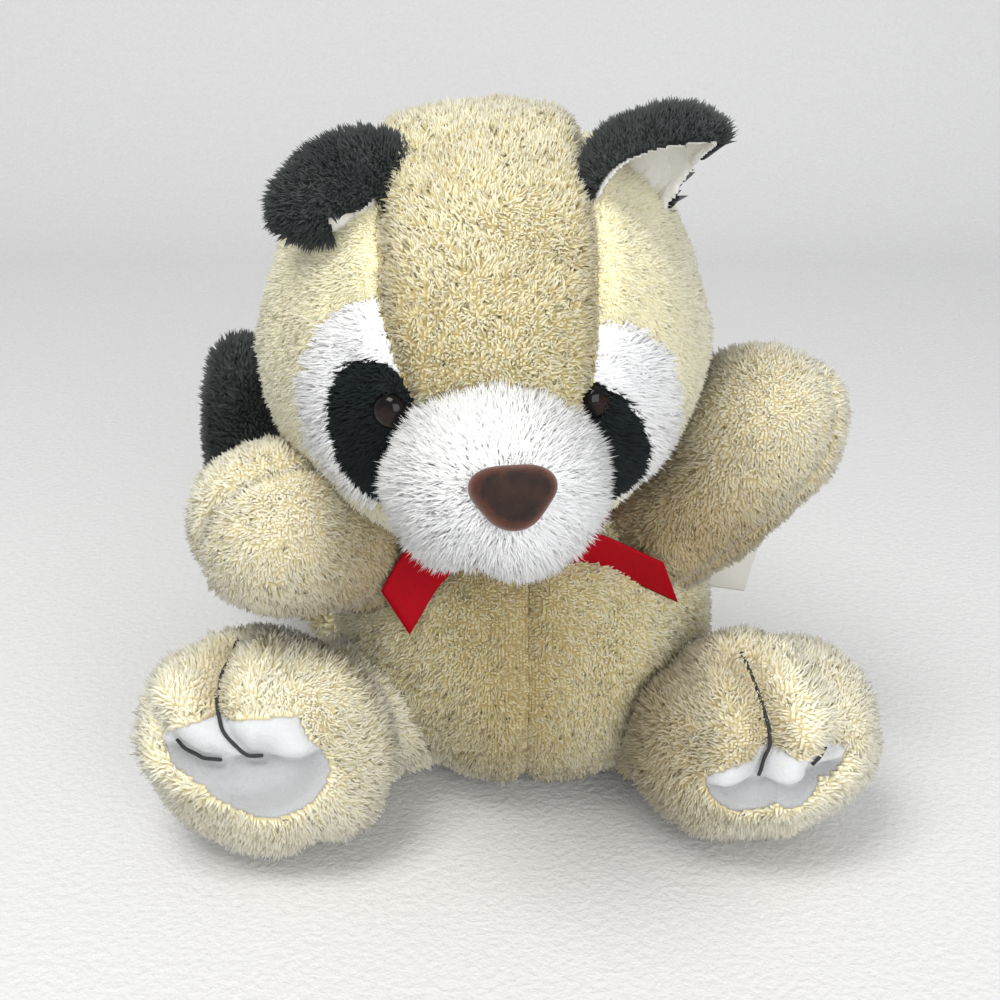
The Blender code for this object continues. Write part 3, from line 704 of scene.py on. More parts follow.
def one_skin(bm: bmesh.types.BMesh, voxel: float = FORM_VOXEL, rounds: int = 4,
             coarse: float = BACK_SHARE) -> bpy.types.Mesh:
    """Merge overlapping closed shapes into one skin of small even squares.

    Args:
        bm: The shapes, freed here.
        voxel: The squares' size.
        rounds: How often it is smoothed.
        coarse: How far the far side shrinks before, so that its squares get larger.

    Returns:
        The skin's mesh.
    """
    mesh = mesh_from(bm, "form")
    points = coordinates(mesh)
    middle = (points.min(axis=0) + points.max(axis=0)) / 2
    set_points(mesh, middle + (points - middle) * back_shrink(points - middle, coarse)[:, None])
    obj = add_object("form", mesh)
    step = obj.modifiers.new("remesh", 'REMESH')
    step.mode = 'VOXEL'
    step.voxel_size = voxel
    bpy.context.view_layer.update()
    skin = bpy.data.meshes.new_from_object(obj.evaluated_get(bpy.context.evaluated_depsgraph_get()))
    bpy.data.objects.remove(obj)
    points = coordinates(skin)
    set_points(skin, middle + (points - middle) / back_shrink(points - middle, coarse)[:, None])
    bm = bmesh.new()
    bm.from_mesh(skin)
    for _ in range(rounds):
        bmesh.ops.smooth_vert(bm, verts=bm.verts, factor=0.5, use_axis_x=True, use_axis_y=True,
                              use_axis_z=True)
    bmesh.ops.recalc_face_normals(bm, faces=bm.faces)
    bm.to_mesh(skin)
    bm.free()
    return skin


def rows_of(data: bpy.types.bpy_prop_collection, name: str) -> Array:
    """One property of a mesh's points or faces as rows.

    Args:
        data: The points, their normals or the faces.
        name: The property's name.

    Returns:
        Its three numbers for each of them.
    """
    flat = np.empty(len(data) * 3, dtype=np.float32)
    data.foreach_get(name, flat)
    return flat.reshape(-1, 3).astype(np.float64)


def coordinates(mesh: bpy.types.Mesh) -> Array:
    """The mesh's points as rows."""
    return rows_of(mesh.vertices, "co")


def normals(mesh: bpy.types.Mesh) -> Array:
    """The mesh's point normals as rows."""
    return rows_of(mesh.vertex_normals, "vector")


def centres(mesh: bpy.types.Mesh) -> Array:
    """The mesh's face centres as rows."""
    return rows_of(mesh.polygons, "center")


def set_points(mesh: bpy.types.Mesh, points: Array) -> None:
    """Move the mesh's points."""
    mesh.vertices.foreach_set("co", points.astype(np.float32).ravel())
    mesh.update()


def set_down(mesh: bpy.types.Mesh) -> None:
    """Keep a skin above the floor.

    Args:
        mesh: The skin.
    """
    points = coordinates(mesh)
    points[:, 2] = np.maximum(points[:, 2], SEAT_CLEAR)
    set_points(mesh, points)


def set_value(mesh: bpy.types.Mesh, name: str, values: Array) -> None:
    """Store one number for each point."""
    mesh.attributes.new(name, 'FLOAT', 'POINT').data.foreach_set("value", values.astype(np.float32))


def set_vectors(mesh: bpy.types.Mesh, name: str, rows: Array) -> None:
    """Store one vector for each point."""
    data = mesh.attributes.new(name, 'FLOAT_VECTOR', 'POINT').data
    data.foreach_set("vector", rows.astype(np.float32).ravel())


def mark_threads(mesh: bpy.types.Mesh, rows: Array) -> None:
    """Store where a woven cloth's threads run, in millimetres, and smooth its shading.

    Args:
        mesh: The cloth.
        rows: Across, along and out of the weave, for each point.
    """
    set_vectors(mesh, "cloth_mm", rows)
    mesh.shade_smooth()


def press(mesh: bpy.types.Mesh, depth: Callable[[Array], Array]) -> None:
    """Push the skin outwards by a depth that a function gives, or inwards where it is below zero."""
    points = coordinates(mesh)
    set_points(mesh, points + normals(mesh) * depth(points)[:, None])


@dataclass(frozen=True)
class Pile:
    """How one panel's pile grows."""

    length: float
    lean: float = 0.55
    comb: Comb = Comb.DOWN
    source: Tuple[float, float, float] = (0.0, 0.0, 0.0)
    wild: float = 0.35
    clump: float = 0.35
    clump_size: float = 0.0022
    swirl: float = 0.5
    seed: int = 1
    jitter: float = 0.00036


def flat_map(points: Array, centre: Array, way: Array) -> Array:
    """Points unrolled round a direction, as seen from a centre: rows from 0 to 1.

    Args:
        points: Rows of points.
        centre: Where they are seen from.
        way: The middle of the map.

    Returns:
        Two numbers for each row.
    """
    way = way / np.linalg.norm(way)
    side = np.cross(way, (0.0, 0.0, 1.0) if abs(way[2]) < 0.9 else (1.0, 0.0, 0.0))
    side /= np.linalg.norm(side)
    up = np.cross(side, way)
    rays = unit(points - centre)
    angle = np.arccos(np.clip(rays @ way, -1, 1))
    spin = np.arctan2(rays @ up, rays @ side)
    spread = np.stack([np.cos(spin), np.sin(spin)], axis=1) * angle[:, None]
    low = spread.min(axis=0)
    return (spread - low) / np.maximum(spread.max(axis=0) - low, 1e-9)


def comb_way(pile: Pile, points: Array, outward: Array) -> Array:
    """The direction in which each hair is brushed, along the skin.

    Args:
        pile: How the pile grows.
        points: Where the hairs stand.
        outward: The way out of the skin at each.

    Returns:
        A unit row for each hair.
    """
    if pile.comb is Comb.FROM_POINT:
        way = points - np.array(pile.source)
    else:
        way = np.tile([0.0, 0.0, -1.0 if pile.comb is Comb.DOWN else 1.0], (len(points), 1))
    way = unit(way - outward * (way * outward).sum(axis=1, keepdims=True))
    drift = np.stack([wave(points, 0.016, pile.seed + k) for k in range(3)], axis=1)
    drift -= outward * (drift * outward).sum(axis=1, keepdims=True)
    return unit(way + drift * pile.swirl)


def grow_pile(mesh: bpy.types.Mesh, tip: Array, pile: Pile, tones: Callable[[Array], Array],
              trim: Callable[[Array], Array]) -> None:
    """Draw each tip point out into a hair that leans with the comb.

    Args:
        mesh: A panel with a point in the middle of each of its squares.
        tip: The numbers of those points.
        pile: How the pile grows.
        tones: The painted shade of each point, from 0 to 1.
        trim: The share of its length that each hair keeps.
    """
    rng = np.random.default_rng(pile.seed)
    points = coordinates(mesh)
    outward = normals(mesh)
    tones_now = tones(points)
    tips = points[tip]
    ways = outward[tip]
    count = len(tips)
    lay = comb_way(pile, tips, ways) * pile.lean + rng.normal(size=(count, 3)) * pile.wild * 0.5
    direction = unit(ways + lay)
    length = pile.length * (1 + LENGTH_WAVE * wave(tips, LENGTH_WAVE_SIZE, pile.seed + 9))
    length = length * rng.uniform(*LENGTH_SPREAD, count) * trim(tips)
    ends = tips + direction * length[:, None] + rng.normal(size=(count, 3)) * pile.jitter
    cells = max(1, int(count * (FORM_VOXEL / pile.clump_size) ** 2))
    chosen = rng.choice(count, min(cells, count), replace=False)
    tree = KDTree(len(chosen))
    for i, k in enumerate(chosen):
        tree.insert(tips[k], i)
    tree.balance()
    near = np.array([tree.find(p)[1] for p in tips])
    pull = pile.clump * rng.uniform(*PULL_SPREAD, count)[:, None]
    ends += (ends[chosen][near] - ends) * np.clip(pull, 0, PULL_MOST)
    ends[:, 2] = np.maximum(ends[:, 2], TIP_CLEAR)
    points[tip] = ends
    strand = np.full(len(points), 0.5)
    strand[tip] = np.clip(0.5 + 0.25 * rng.normal(size=count)
                          + 0.25 * rng.normal(size=len(chosen))[near], 0, 1)
    at_tip = np.zeros(len(points))
    at_tip[tip] = 1.0
    set_points(mesh, points)
    set_value(mesh, "tip", at_tip)
    set_value(mesh, "strand", strand)
    # The tone is painted shade, which the pile's material multiplies in
    set_value(mesh, "tone", tones_now)
    set_vectors(mesh, "nap", outward)


def thicken(bm: bmesh.types.BMesh, thickness: float, lighten: bool = False) -> List[bmesh.types.BMFace]:
    """Give an open skin a thickness below it, with closed edges, and mark the inner points.

    Args:
        bm: The skin.
        thickness: How thick it gets.
        lighten: Whether the inner wall gets larger faces.

    Returns:
        The faces of the outside.
    """
    mark = bm.verts.layers.int.new("mark")
    bm.normal_update()
    ways = {v: v.normal.copy() for v in bm.verts}
    below = list(bm.verts)
    grown = bmesh.ops.extrude_face_region(bm, geom=list(bm.faces), use_keep_orig=True)
    for vert in below:
        vert.co -= ways[vert] * thickness
        vert[mark] = 1
    bmesh.ops.recalc_face_normals(bm, faces=bm.faces)
    outer = [g for g in grown["geom"] if isinstance(g, bmesh.types.BMFace)]
    if lighten:
        edge = {v for v in below if any(other[mark] == 0 for e in v.link_edges for other in e.verts)}
        inside = [v for v in below if v not in edge]
        lines = [e for e in bm.edges
                 if all(v[mark] == 1 for v in e.verts) and not all(v in edge for v in e.verts)]
        bmesh.ops.dissolve_limit(bm, angle_limit=INNER_ANGLE, use_dissolve_boundaries=False,
                                 verts=inside, edges=lines)
    return outer


def cloth_shell(form: bpy.types.Mesh, keep: Array, name: str, thickness: float,
                pile: Optional[Pile], tones: Callable[[Array], Array],
                trim: Callable[[Array], Array]) -> bpy.types.Mesh:
    """Cut one panel out of a skin, give it the cloth's thickness and its pile.

    Args:
        form: The whole skin.
        keep: Which of its faces the panel takes.
        name: The panel's name.
        thickness: The cloth's thickness under the pile.
        pile: How its pile grows, or nothing for bare cloth.
        tones: The painted shade of each point.
        trim: The share of its length that each hair keeps.

    Returns:
        The panel's mesh, with its flat map.
    """
    bm = bmesh.new()
    bm.from_mesh(form)
    bm.faces.ensure_lookup_table()
    dropped = [bm.faces[i] for i in np.flatnonzero(~keep)]
    bmesh.ops.delete(bm, geom=dropped, context='FACES')
    outer = thicken(bm, thickness, True)
    if pile:
        mark = bm.verts.layers.int["mark"]
        for vert in bmesh.ops.poke(bm, faces=outer)["verts"]:
            vert[mark] = 2
    mesh = mesh_from(bm, name)
    tip = lay_out(mesh)
    if pile:
        grow_pile(mesh, tip, pile, tones, trim)
    else:
        set_value(mesh, "tone", tones(coordinates(mesh)))
    mesh.shade_smooth()
    return mesh


def lay_out(mesh: bpy.types.Mesh) -> Array:
    """Give a panel its flat map: the outside above, the inside and the edges in the low strip.

    Args:
        mesh: The panel, its points marked 1 inside and 2 where a hair's tip will be.

    Returns:
        The numbers of the tip points.
    """
    points = coordinates(mesh)
    marks = np.empty(len(mesh.vertices), dtype=np.int32)
    mesh.attributes["mark"].data.foreach_get("value", marks)
    corner = np.empty(len(mesh.loops), dtype=np.int32)
    mesh.loops.foreach_get("vertex_index", corner)
    start = np.empty(len(mesh.polygons), dtype=np.int32)
    mesh.polygons.foreach_get("loop_start", start)
    total = np.empty(len(mesh.polygons), dtype=np.int32)
    mesh.polygons.foreach_get("loop_total", total)
    face_of = np.repeat(np.arange(len(start)), total)
    centre = points.mean(axis=0) * 0.5 + (points.min(axis=0) + points.max(axis=0)) * 0.25
    ways = normals(mesh)
    way = ways[marks != 1].sum(axis=0)
    centre = centre - way / max(np.linalg.norm(way), 1e-9) * 0.25 * np.ptp(points, axis=0).max()
    spread = flat_map(points, centre, way)
    uv = OUTSIDE_MAP[0] + spread * OUTSIDE_MAP[1]
    uv[marks == 1] = INSIDE_MAP[0] + spread[marks == 1] * INSIDE_MAP[1]
    loops = uv[corner]
    inner_share = np.add.reduceat((marks[corner] == 1).astype(int), start) / total
    edge = np.flatnonzero((inner_share > 0.01) & (inner_share < 0.99))
    if len(edge):
        columns = int(math.ceil(math.sqrt(len(edge) * 3)))
        rows = int(math.ceil(len(edge) / columns))
        order = np.full(len(start), -1)
        order[edge] = np.arange(len(edge))
        here = np.flatnonzero(order[face_of] >= 0)
        cell = order[face_of[here]]
        position = here - start[face_of[here]]
        step = np.array([[0, 0], [0.8, 0], [0.8, 0.8], [0, 0.8]])[position % 4]
        place = np.stack([cell % columns, cell // columns], axis=1) + step + 0.1
        loops[here] = EDGE_MAP[0] + place * EDGE_MAP[1] / np.array([columns, rows])
    layer = mesh.uv_layers.new(name="OFBake")
    layer.data.foreach_set("uv", loops.astype(np.float32).ravel())
    mesh.attributes.remove(mesh.attributes["mark"])
    return np.flatnonzero(marks == 2)


def no_tone(points: Array) -> Array:
    """The plain tone all over."""
    return np.zeros(len(points))


def full_length(points: Array) -> Array:
    """Pile of its full length all over."""
    return np.ones(len(points))


def put(name: str, mesh: bpy.types.Mesh, material: bpy.types.Material,
        nodes: Sequence[str]) -> bpy.types.Object:
    """Place a finished piece, dress it, and hide the CAD nodes that it replaces.

    Args:
        name: The piece's name.
        mesh: Its mesh, in place.
        material: Its material.
        nodes: The CAD nodes that it replaces.

    Returns:
        The object.
    """
    mesh.name = name
    mesh.materials.clear()
    mesh.materials.append(material)
    obj = add_object(name, mesh)
    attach(obj, "root")
    if nodes:
        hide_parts(*nodes)
    LOG.info("%s: %d faces", name, len(mesh.polygons))
    return obj


def sew(name: str, form: bpy.types.Mesh, keep: Array, finish: PileFinish, pile: Optional[Pile],
        nodes: Sequence[str], tones: Callable[[Array], Array] = no_tone,
        trim: Callable[[Array], Array] = full_length) -> bpy.types.Object:
    """Cut, pile, dress and place one panel of a skin.

    Args:
        name: The piece's name.
        form: The whole skin.
        keep: Its faces in the panel.
        finish: The panel's cloth.
        pile: How its pile grows, or nothing for bare cloth.
        nodes: The CAD nodes that it replaces.
        tones: The painted shade of each point.
        trim: The share of its length that each hair keeps.

    Returns:
        The object.
    """
    mesh = cloth_shell(form, keep, name, CLOTH_THICKNESS, pile, tones, trim)
    return put(name, mesh, finish.material(), nodes)


# Sub-assemblies


@dataclass
class Head:
    """The head: centre gusset, side panels, the mask's patches and the muzzle."""

    inset: float = 0.0024
    pitch: float = 0.00082
    gusset_crown: Tuple[float, float] = (0.0270, 0.0248)
    gusset_muzzle: Tuple[float, float] = (0.0170, 0.0215)
    gusset_nape: float = 0.0160
    gusset_from: float = math.radians(-8)
    gusset_crown_angle: float = math.radians(30)
    gusset_back_angle: float = math.radians(130)
    gusset_to: float = math.radians(222)
    cheek_out: float = 0.0290
    cheek_height: float = -0.0082
    cheek_radii: Tuple[float, float] = (0.0170, 0.0266)
    patch_out: Tuple[float, float] = (0.0272, 0.0250)
    patch_height: float = -0.0146
    patch_radii: Tuple[float, float] = (0.0118, 0.0204)
    patch_lean: Tuple[float, float] = (math.radians(8), math.radians(-20))
    cheek_lean: Tuple[float, float] = (math.radians(-6), math.radians(-12))
    slant: float = 0.0025
    seam_depth: float = 0.0030
    crown_square: float = 0.0012
    crown_width: float = 0.0080
    side_drop: float = 0.0015
    cheek_seam: Tuple[float, float] = (0.0010, 0.0018)
    patch_seam: Tuple[float, float] = (0.0006, 0.0015)
    lumps: Tuple[float, float] = (0.0006, 0.0150)
    trimmed: Tuple[float, float] = (0.35, 0.0030)
    cleft_trimmed: float = 0.45
    cleft_top: float = 0.0080
    # Painted shade on the gusset: it fades out up over the crown, and it lies along the sunk seams
    crown_from: float = 0.0200
    crown_rise: float = 0.0350
    face_painted_shade: float = 0.35
    edge_painted_shade: Tuple[float, float] = (0.35, 0.0060)
    muzzle_inset: float = 0.0050
    muzzle_pitch: float = 0.00066
    cleft_width: float = 0.0045
    cleft_depth: float = 0.0050
    cleft_across: float = -0.0050
    corner_depth: float = 0.0045
    nose_local: Vector = field(default_factory=lambda: Vector((0.0017, -0.0860, -0.0092)))

    def half_width(self, angle: Array, right: Array) -> Array:
        """Half the gusset's width, left or right, at angles from the front over the top.

        Args:
            angle: An angle for each point.
            right: Which points lie on the right.

        Returns:
            A width for each point.
        """
        crown = np.where(right, self.gusset_crown[1], self.gusset_crown[0])
        muzzle = np.where(right, self.gusset_muzzle[1], self.gusset_muzzle[0])
        first = (angle - self.gusset_from) / (self.gusset_crown_angle - self.gusset_from)
        rise = muzzle + (crown - muzzle) * np.sin(np.clip(first, 0, 1) * math.pi / 2)
        last = np.clip((angle - self.gusset_back_angle) / (self.gusset_to - self.gusset_back_angle), 0, 1)
        return rise + (self.gusset_nape - crown) * last

    def over_top(self, local: Array) -> Array:
        """Angles from the front over the top, for points in the head's frame."""
        angle = np.arctan2(local[:, 2], -local[:, 1])
        return np.where(angle < math.radians(-100), angle + math.tau, angle)

    def gusset_gap(self, local: Array) -> Array:
        """How far points lie outside the gusset's seam; below zero inside it.

        Args:
            local: Points in the head's frame.

        Returns:
            A distance for each point.
        """
        angle = self.over_top(local)
        gap = np.abs(local[:, 0]) - self.half_width(angle, local[:, 0] > 0)
        radius = HEAD_RADII.z
        short = np.maximum(self.gusset_from - angle, angle - self.gusset_to) * radius
        return np.maximum(gap, short)

    def patch_gap(self, local: Array, side: int, out: float, height: float,
                  radii: Tuple[float, float], lean: float) -> Array:
        """How far points lie outside a patch of the mask, roughly in metres.

        Args:
            local: Points in the head's frame.
            side: -1 on the left, 1 on the right.
            out: How far out the patch's middle lies.
            height: How high it lies.
            radii: The patch's half width and half height.
            lean: How far it leans.

        Returns:
            A distance for each point.
        """
        x = local[:, 0] - side * out
        z = local[:, 2] - (height - side * self.slant)
        turn = side * lean
        across = x * math.cos(turn) - z * math.sin(turn)
        up = x * math.sin(turn) + z * math.cos(turn)
        far = np.sqrt((across / radii[0]) ** 2 + (up / radii[1]) ** 2)
        gap = (far - 1) * (radii[0] + radii[1]) / 2
        return np.where(local[:, 1] < 0, gap, 1.0)

    def gaps(self, local: Array) -> Dict[str, Array]:
        """Every panel's gap.

        Args:
            local: Points in the head's frame.

        Returns:
            The gaps by the panels' names.
        """
        found = {"gusset": self.gusset_gap(local)}
        for side, word in ((-1, "left"), (1, "right")):
            found["patch_" + word] = self.patch_gap(
                local, side, self.patch_out[side > 0], self.patch_height, self.patch_radii,
                self.patch_lean[side > 0])
            found["cheek_" + word] = self.patch_gap(
                local, side, self.cheek_out, self.cheek_height, self.cheek_radii, self.cheek_lean[side > 0])
        return found

    def shape(self, points: Array) -> Array:
        """How far the skin is pushed: squared crown, sunk seams, soft lumps.

        Args:
            points: Rows of points.

        Returns:
            A depth for each point, above zero outwards.
        """
        local = moved(points, head_frame().inverted())
        gaps = self.gaps(local)
        gusset = gaps["gusset"]
        push = -self.seam_depth * bell(gusset, SEAM_WIDTH)
        in_gusset = gusset < SEAM_WIDTH / 2
        for word in ("left", "right"):
            cheek = self.cheek_seam[0] * bell(gaps["cheek_" + word], self.cheek_seam[1])
            patch = self.patch_seam[0] * bell(gaps["patch_" + word], self.patch_seam[1])
            push = np.where(in_gusset, push, push - cheek - patch)
        crown = np.clip(np.sin(self.over_top(local)), 0, 1) ** 2
        push += self.crown_square * crown * bell(gusset + 0.75 * self.crown_width, self.crown_width)
        push -= self.side_drop * crown * np.clip(gusset / 0.01, 0, 1)
        return push + self.lumps[0] * wave(points, self.lumps[1], 3)

    def build(self) -> None:
        """Build the head's panels and the muzzle."""
        place = head_frame()
        bm = bmesh.new()
        ball_at(bm, place, [r - self.inset for r in HEAD_RADII], 5)
        form = one_skin(bm, self.pitch)
        press(form, self.shape)
        middle = centres(form)
        local = moved(middle, place.inverted())
        gaps = self.gaps(local)
        muzzle = place @ Matrix.Translation(MUZZLE_OFFSET)
        hidden = inside_ball(middle, muzzle, MUZZLE_RADII, -self.muzzle_inset - COVERED)
        hidden |= in_body(middle)
        gusset = (gaps["gusset"] < 0) & ~hidden
        taken = gusset | hidden
        nose = tuple(place @ self.nose_local)
        sew("gusset_panel", form, gusset, TAN,
            Pile(0.0029, lean=0.45, comb=Comb.FROM_POINT, source=nose, wild=0.95, clump=0.50,
                 clump_size=0.0020, swirl=0.9, seed=11),
            ["head_centre_gusset"], tones=self.gusset_painted_shade, trim=self.trim)
        for side, word in ((-1, "left"), (1, "right")):
            patch = (gaps["patch_" + word] < 0) & ~taken
            cheek = (gaps["cheek_" + word] < 0) & ~taken & ~patch
            flank = ~taken & ~patch & ~cheek & (local[:, 0] * side > 0)
            sew("eye_patch_panel_" + word, form, patch, JET,
                Pile(0.0032, lean=0.5, comb=Comb.FROM_POINT, source=nose, wild=0.5, clump=0.4,
                     seed=21 + side),
                ["eye_patch_" + word], trim=self.trim)
            sew("cheek_panel_" + word, form, cheek, WHITE,
                Pile(0.0042, lean=0.5, comb=Comb.FROM_POINT, source=nose, wild=0.6, clump=0.45,
                     seed=31 + side),
                ["cheek_patch_" + word], trim=self.trim)
            sew("side_panel_" + word, form, flank, CREAM,
                Pile(0.0021, lean=0.5, comb=Comb.DOWN, wild=0.60, clump=0.30, seed=41 + side),
                ["head_side_" + word], trim=self.trim)
        bpy.data.meshes.remove(form)
        self.build_muzzle(muzzle, nose)

    def trim(self, points: Array) -> Array:
        """Shorter pile along the gusset's seams."""
        local = moved(points, head_frame().inverted())
        return 1.0 - self.trimmed[0] * bell(self.gusset_gap(local), self.trimmed[1])

    def gusset_painted_shade(self, points: Array) -> Array:
        """Painted shade: darker in the middle of the face and along the sunk seams, paler on the crown,
        where the light from above falls.

        Args:
            points: Rows of points.

        Returns:
            A tone from 0 to 1 for each point.
        """
        local = moved(points, head_frame().inverted())
        crown = np.clip((local[:, 2] - self.crown_from) / self.crown_rise, 0, 1)
        edge = bell(self.gusset_gap(local), self.edge_painted_shade[1])
        return np.clip(self.face_painted_shade * (1 - crown) + self.edge_painted_shade[0] * edge, 0, 1)

    def build_muzzle(self, place: Matrix, nose: Tuple[float, float, float]) -> None:
        """The long-piled muzzle with the cleft of its mouth.

        Args:
            place: The muzzle's frame.
            nose: The point that its pile is combed from.
        """
        bm = bmesh.new()
        ball_at(bm, place, [r - self.muzzle_inset for r in MUZZLE_RADII], 5)
        form = one_skin(bm, self.muzzle_pitch)

        def cleft(points: Array) -> Array:
            """How near points lie to the mouth's cleft.

            Args:
                points: Rows of points.

            Returns:
                1 in the cleft, fading to 0.
            """
            local = moved(points, place.inverted())
            below = np.clip(-(local[:, 2] + self.cleft_top) / self.cleft_top, 0, 1)
            return below * bell(local[:, 0] - self.cleft_across, self.cleft_width)

        def shape(points: Array) -> Array:
            """Sink the cleft below the nose, draw the upper corners in.

            Args:
                points: Rows of points.

            Returns:
                A depth for each point, above zero outwards.
            """
            local = moved(points, place.inverted())
            upper = np.clip(local[:, 2] / MUZZLE_RADII.z, 0, 1)
            corner = np.clip(np.abs(local[:, 0]) / MUZZLE_RADII.x - 0.3, 0, 1)
            return -self.cleft_depth * cleft(points) - self.corner_depth * upper * corner

        press(form, shape)
        middle = centres(form)
        hidden = in_head(middle, self.inset + COVERED)
        sew("muzzle_panel", form, ~hidden, WHITE,
            Pile(0.0048, lean=0.45, comb=Comb.FROM_POINT, source=nose, wild=0.65, clump=0.45,
                 clump_size=0.0016, swirl=0.7, seed=51),
            ["muzzle_cover"], trim=lambda points: 1.0 - self.cleft_trimmed * cleft(points))
        bpy.data.meshes.remove(form)


@dataclass
class Ear:
    """A cupped ear: black pile outside, a short white nap inside."""

    word: str
    spot: Vector
    up: Vector
    back: Vector
    radii: Vector
    point: float = 0.20
    bend: float = 0.0
    fold: float = 0.0
    inset: float = 0.0016
    lining_inset: float = 0.0034
    lip: float = 0.0012
    rim: float = 0.0
    pitch: float = 0.00070
    fold_height: float = 0.0020
    fold_reach: float = 0.0065
    seed: int = 61

    def place(self) -> Matrix:
        """The ear's frame: Z up the ear, -Y out of its opening.

        Returns:
            The frame.
        """
        up = self.up.normalized()
        back = (self.back - up * self.back.dot(up)).normalized()
        turn = Matrix((back.cross(up), back, up)).transposed().to_4x4()
        return Matrix.Translation(head_frame() @ self.spot) @ turn

    def half(self, inset: float) -> Tuple[bpy.types.Mesh, Array]:
        """A skin at an inset, and which faces lie in the cup and out of the head.

        Args:
            inset: How far the skin lies below the ear's radii.

        Returns:
            The skin, and True for each face that is kept.
        """
        bm = bmesh.new()
        ball_at(bm, Matrix(), [r - inset for r in self.radii], 5)
        for vert in bm.verts:
            rise = max(0.0, vert.co.z / self.radii.z)
            vert.co.x *= 1.0 - self.point * rise ** 2
            vert.co.y -= self.bend * rise ** 2
        bmesh.ops.transform(bm, matrix=self.place(), verts=bm.verts)
        form = one_skin(bm, self.pitch, 2)
        middle = centres(form)
        local = moved(middle, self.place().inverted())
        high = np.clip(local[:, 2] / self.radii.z, 0, 1) ** 2
        local[:, 1] += self.bend * high
        reach = self.lip + self.rim * high
        keep = (local[:, 1] > -reach) & ~in_head(middle, EAR_JOINED)
        return form, keep

    def build(self) -> None:
        """Build the outside and the lining."""
        root = tuple(self.place() @ Vector((0, 0, -self.radii.z)))
        form, keep = self.half(self.inset)
        local = moved(centres(form), self.place().inverted())
        turned_back = (local[:, 0] > 0) & (np.abs(local[:, 2] - self.fold_height) < self.fold_reach)
        keep &= ~(turned_back & (local[:, 1] < self.fold * self.radii.y))
        sew("ear_cloth_" + self.word, form, keep, BLACK,
            Pile(0.0030, lean=0.5, comb=Comb.FROM_POINT, source=root, wild=0.7, clump=0.45, seed=self.seed),
            ["ear_" + self.word])
        form, keep = self.half(self.lining_inset)
        sew("ear_lining_cloth_" + self.word, form, keep, LINING, None, ["ear_lining_" + self.word],
            self.lining_painted_shade)

    def lining_painted_shade(self, points: Array) -> Array:
        """Painted shade: darker deep in the cup, above the root.

        Args:
            points: Rows of points.

        Returns:
            A tone from 0 to 1 for each point.
        """
        local = moved(points, self.place().inverted())
        rise = np.clip(local[:, 2] / self.radii.z, 0, 1)
        return (1 - rise) * bell(local[:, 0], 0.6 * self.radii.x)


@dataclass
class Body:
    """The body: two front panels and a back panel with the seat."""

    inset: float = 0.0024
    seam_depth: float = 0.0021
    side_seam: Tuple[float, float] = (0.0018, 0.0026)
    lumps: Tuple[float, float] = (0.0008, 0.0200)
    trimmed: Tuple[float, float] = (0.6, 0.0035)
    # Painted shade on the front: under the head in the middle of the chest, and in the front seam
    chest_painted_shade: Tuple[float, float] = (0.0040, 0.0260)
    seam_painted_shade: Tuple[float, float] = (0.8, 0.0014)

    def trim(self, points: Array) -> Array:
        """Shorter pile along the front seam."""
        front = points[:, 1] < BODY_SIDE_SEAM
        return 1.0 - self.trimmed[0] * front * bell(points[:, 0] - BODY_CENTRE.x, self.trimmed[1])

    def shape(self, points: Array) -> Array:
        """Sunk seams, soft lumps.

        Args:
            points: Rows of points.

        Returns:
            A depth for each point, above zero outwards.
        """
        x = points[:, 0] - BODY_CENTRE.x
        front = points[:, 1] < BODY_SIDE_SEAM
        push = np.where(front, -self.seam_depth * bell(x, SEAM_WIDTH), 0.0)
        push -= self.side_seam[0] * bell(points[:, 1] - BODY_SIDE_SEAM, self.side_seam[1])
        return push + self.lumps[0] * wave(points, self.lumps[1], 5)

    def tone(self, points: Array) -> Array:
        """Painted shade: darker in the middle of the chest, under the head, towards its left side, and in
        the front seam.

        Args:
            points: Rows of points.

        Returns:
            A tone from 0 to 1 for each point.
        """
        across = points[:, 0] - BODY_CENTRE.x
        chest = bell(across + self.chest_painted_shade[0], self.chest_painted_shade[1])
        return np.clip(chest + self.seam_painted_shade[0] * bell(across, self.seam_painted_shade[1]), 0, 1)

    def build(self) -> None:
        """Build the three panels."""
        bm = bmesh.new()
        ball_at(bm, Matrix.Translation(BODY_CENTRE), [r - self.inset for r in BODY_RADII], 5)
        form = one_skin(bm)
        press(form, self.shape)
        set_down(form)
        middle = centres(form)
        hidden = in_head(middle, NECK_JOINED)
        front = (middle[:, 1] < BODY_SIDE_SEAM) & ~hidden
        left = middle[:, 0] < BODY_CENTRE.x
        pile = Pile(0.0023, lean=0.4, comb=Comb.DOWN, wild=0.9, clump=0.45, clump_size=0.0020, swirl=0.9,
                    seed=71)
        for word, mask in (("left", left), ("right", ~left)):
            sew("front_panel_" + word, form, front & mask, TAN, pile, ["body_front_" + word],
                tones=self.tone, trim=self.trim)
        sew("back_panel", form, ~front & ~hidden, CREAM, pile, ["body_back"])
        bpy.data.meshes.remove(form)


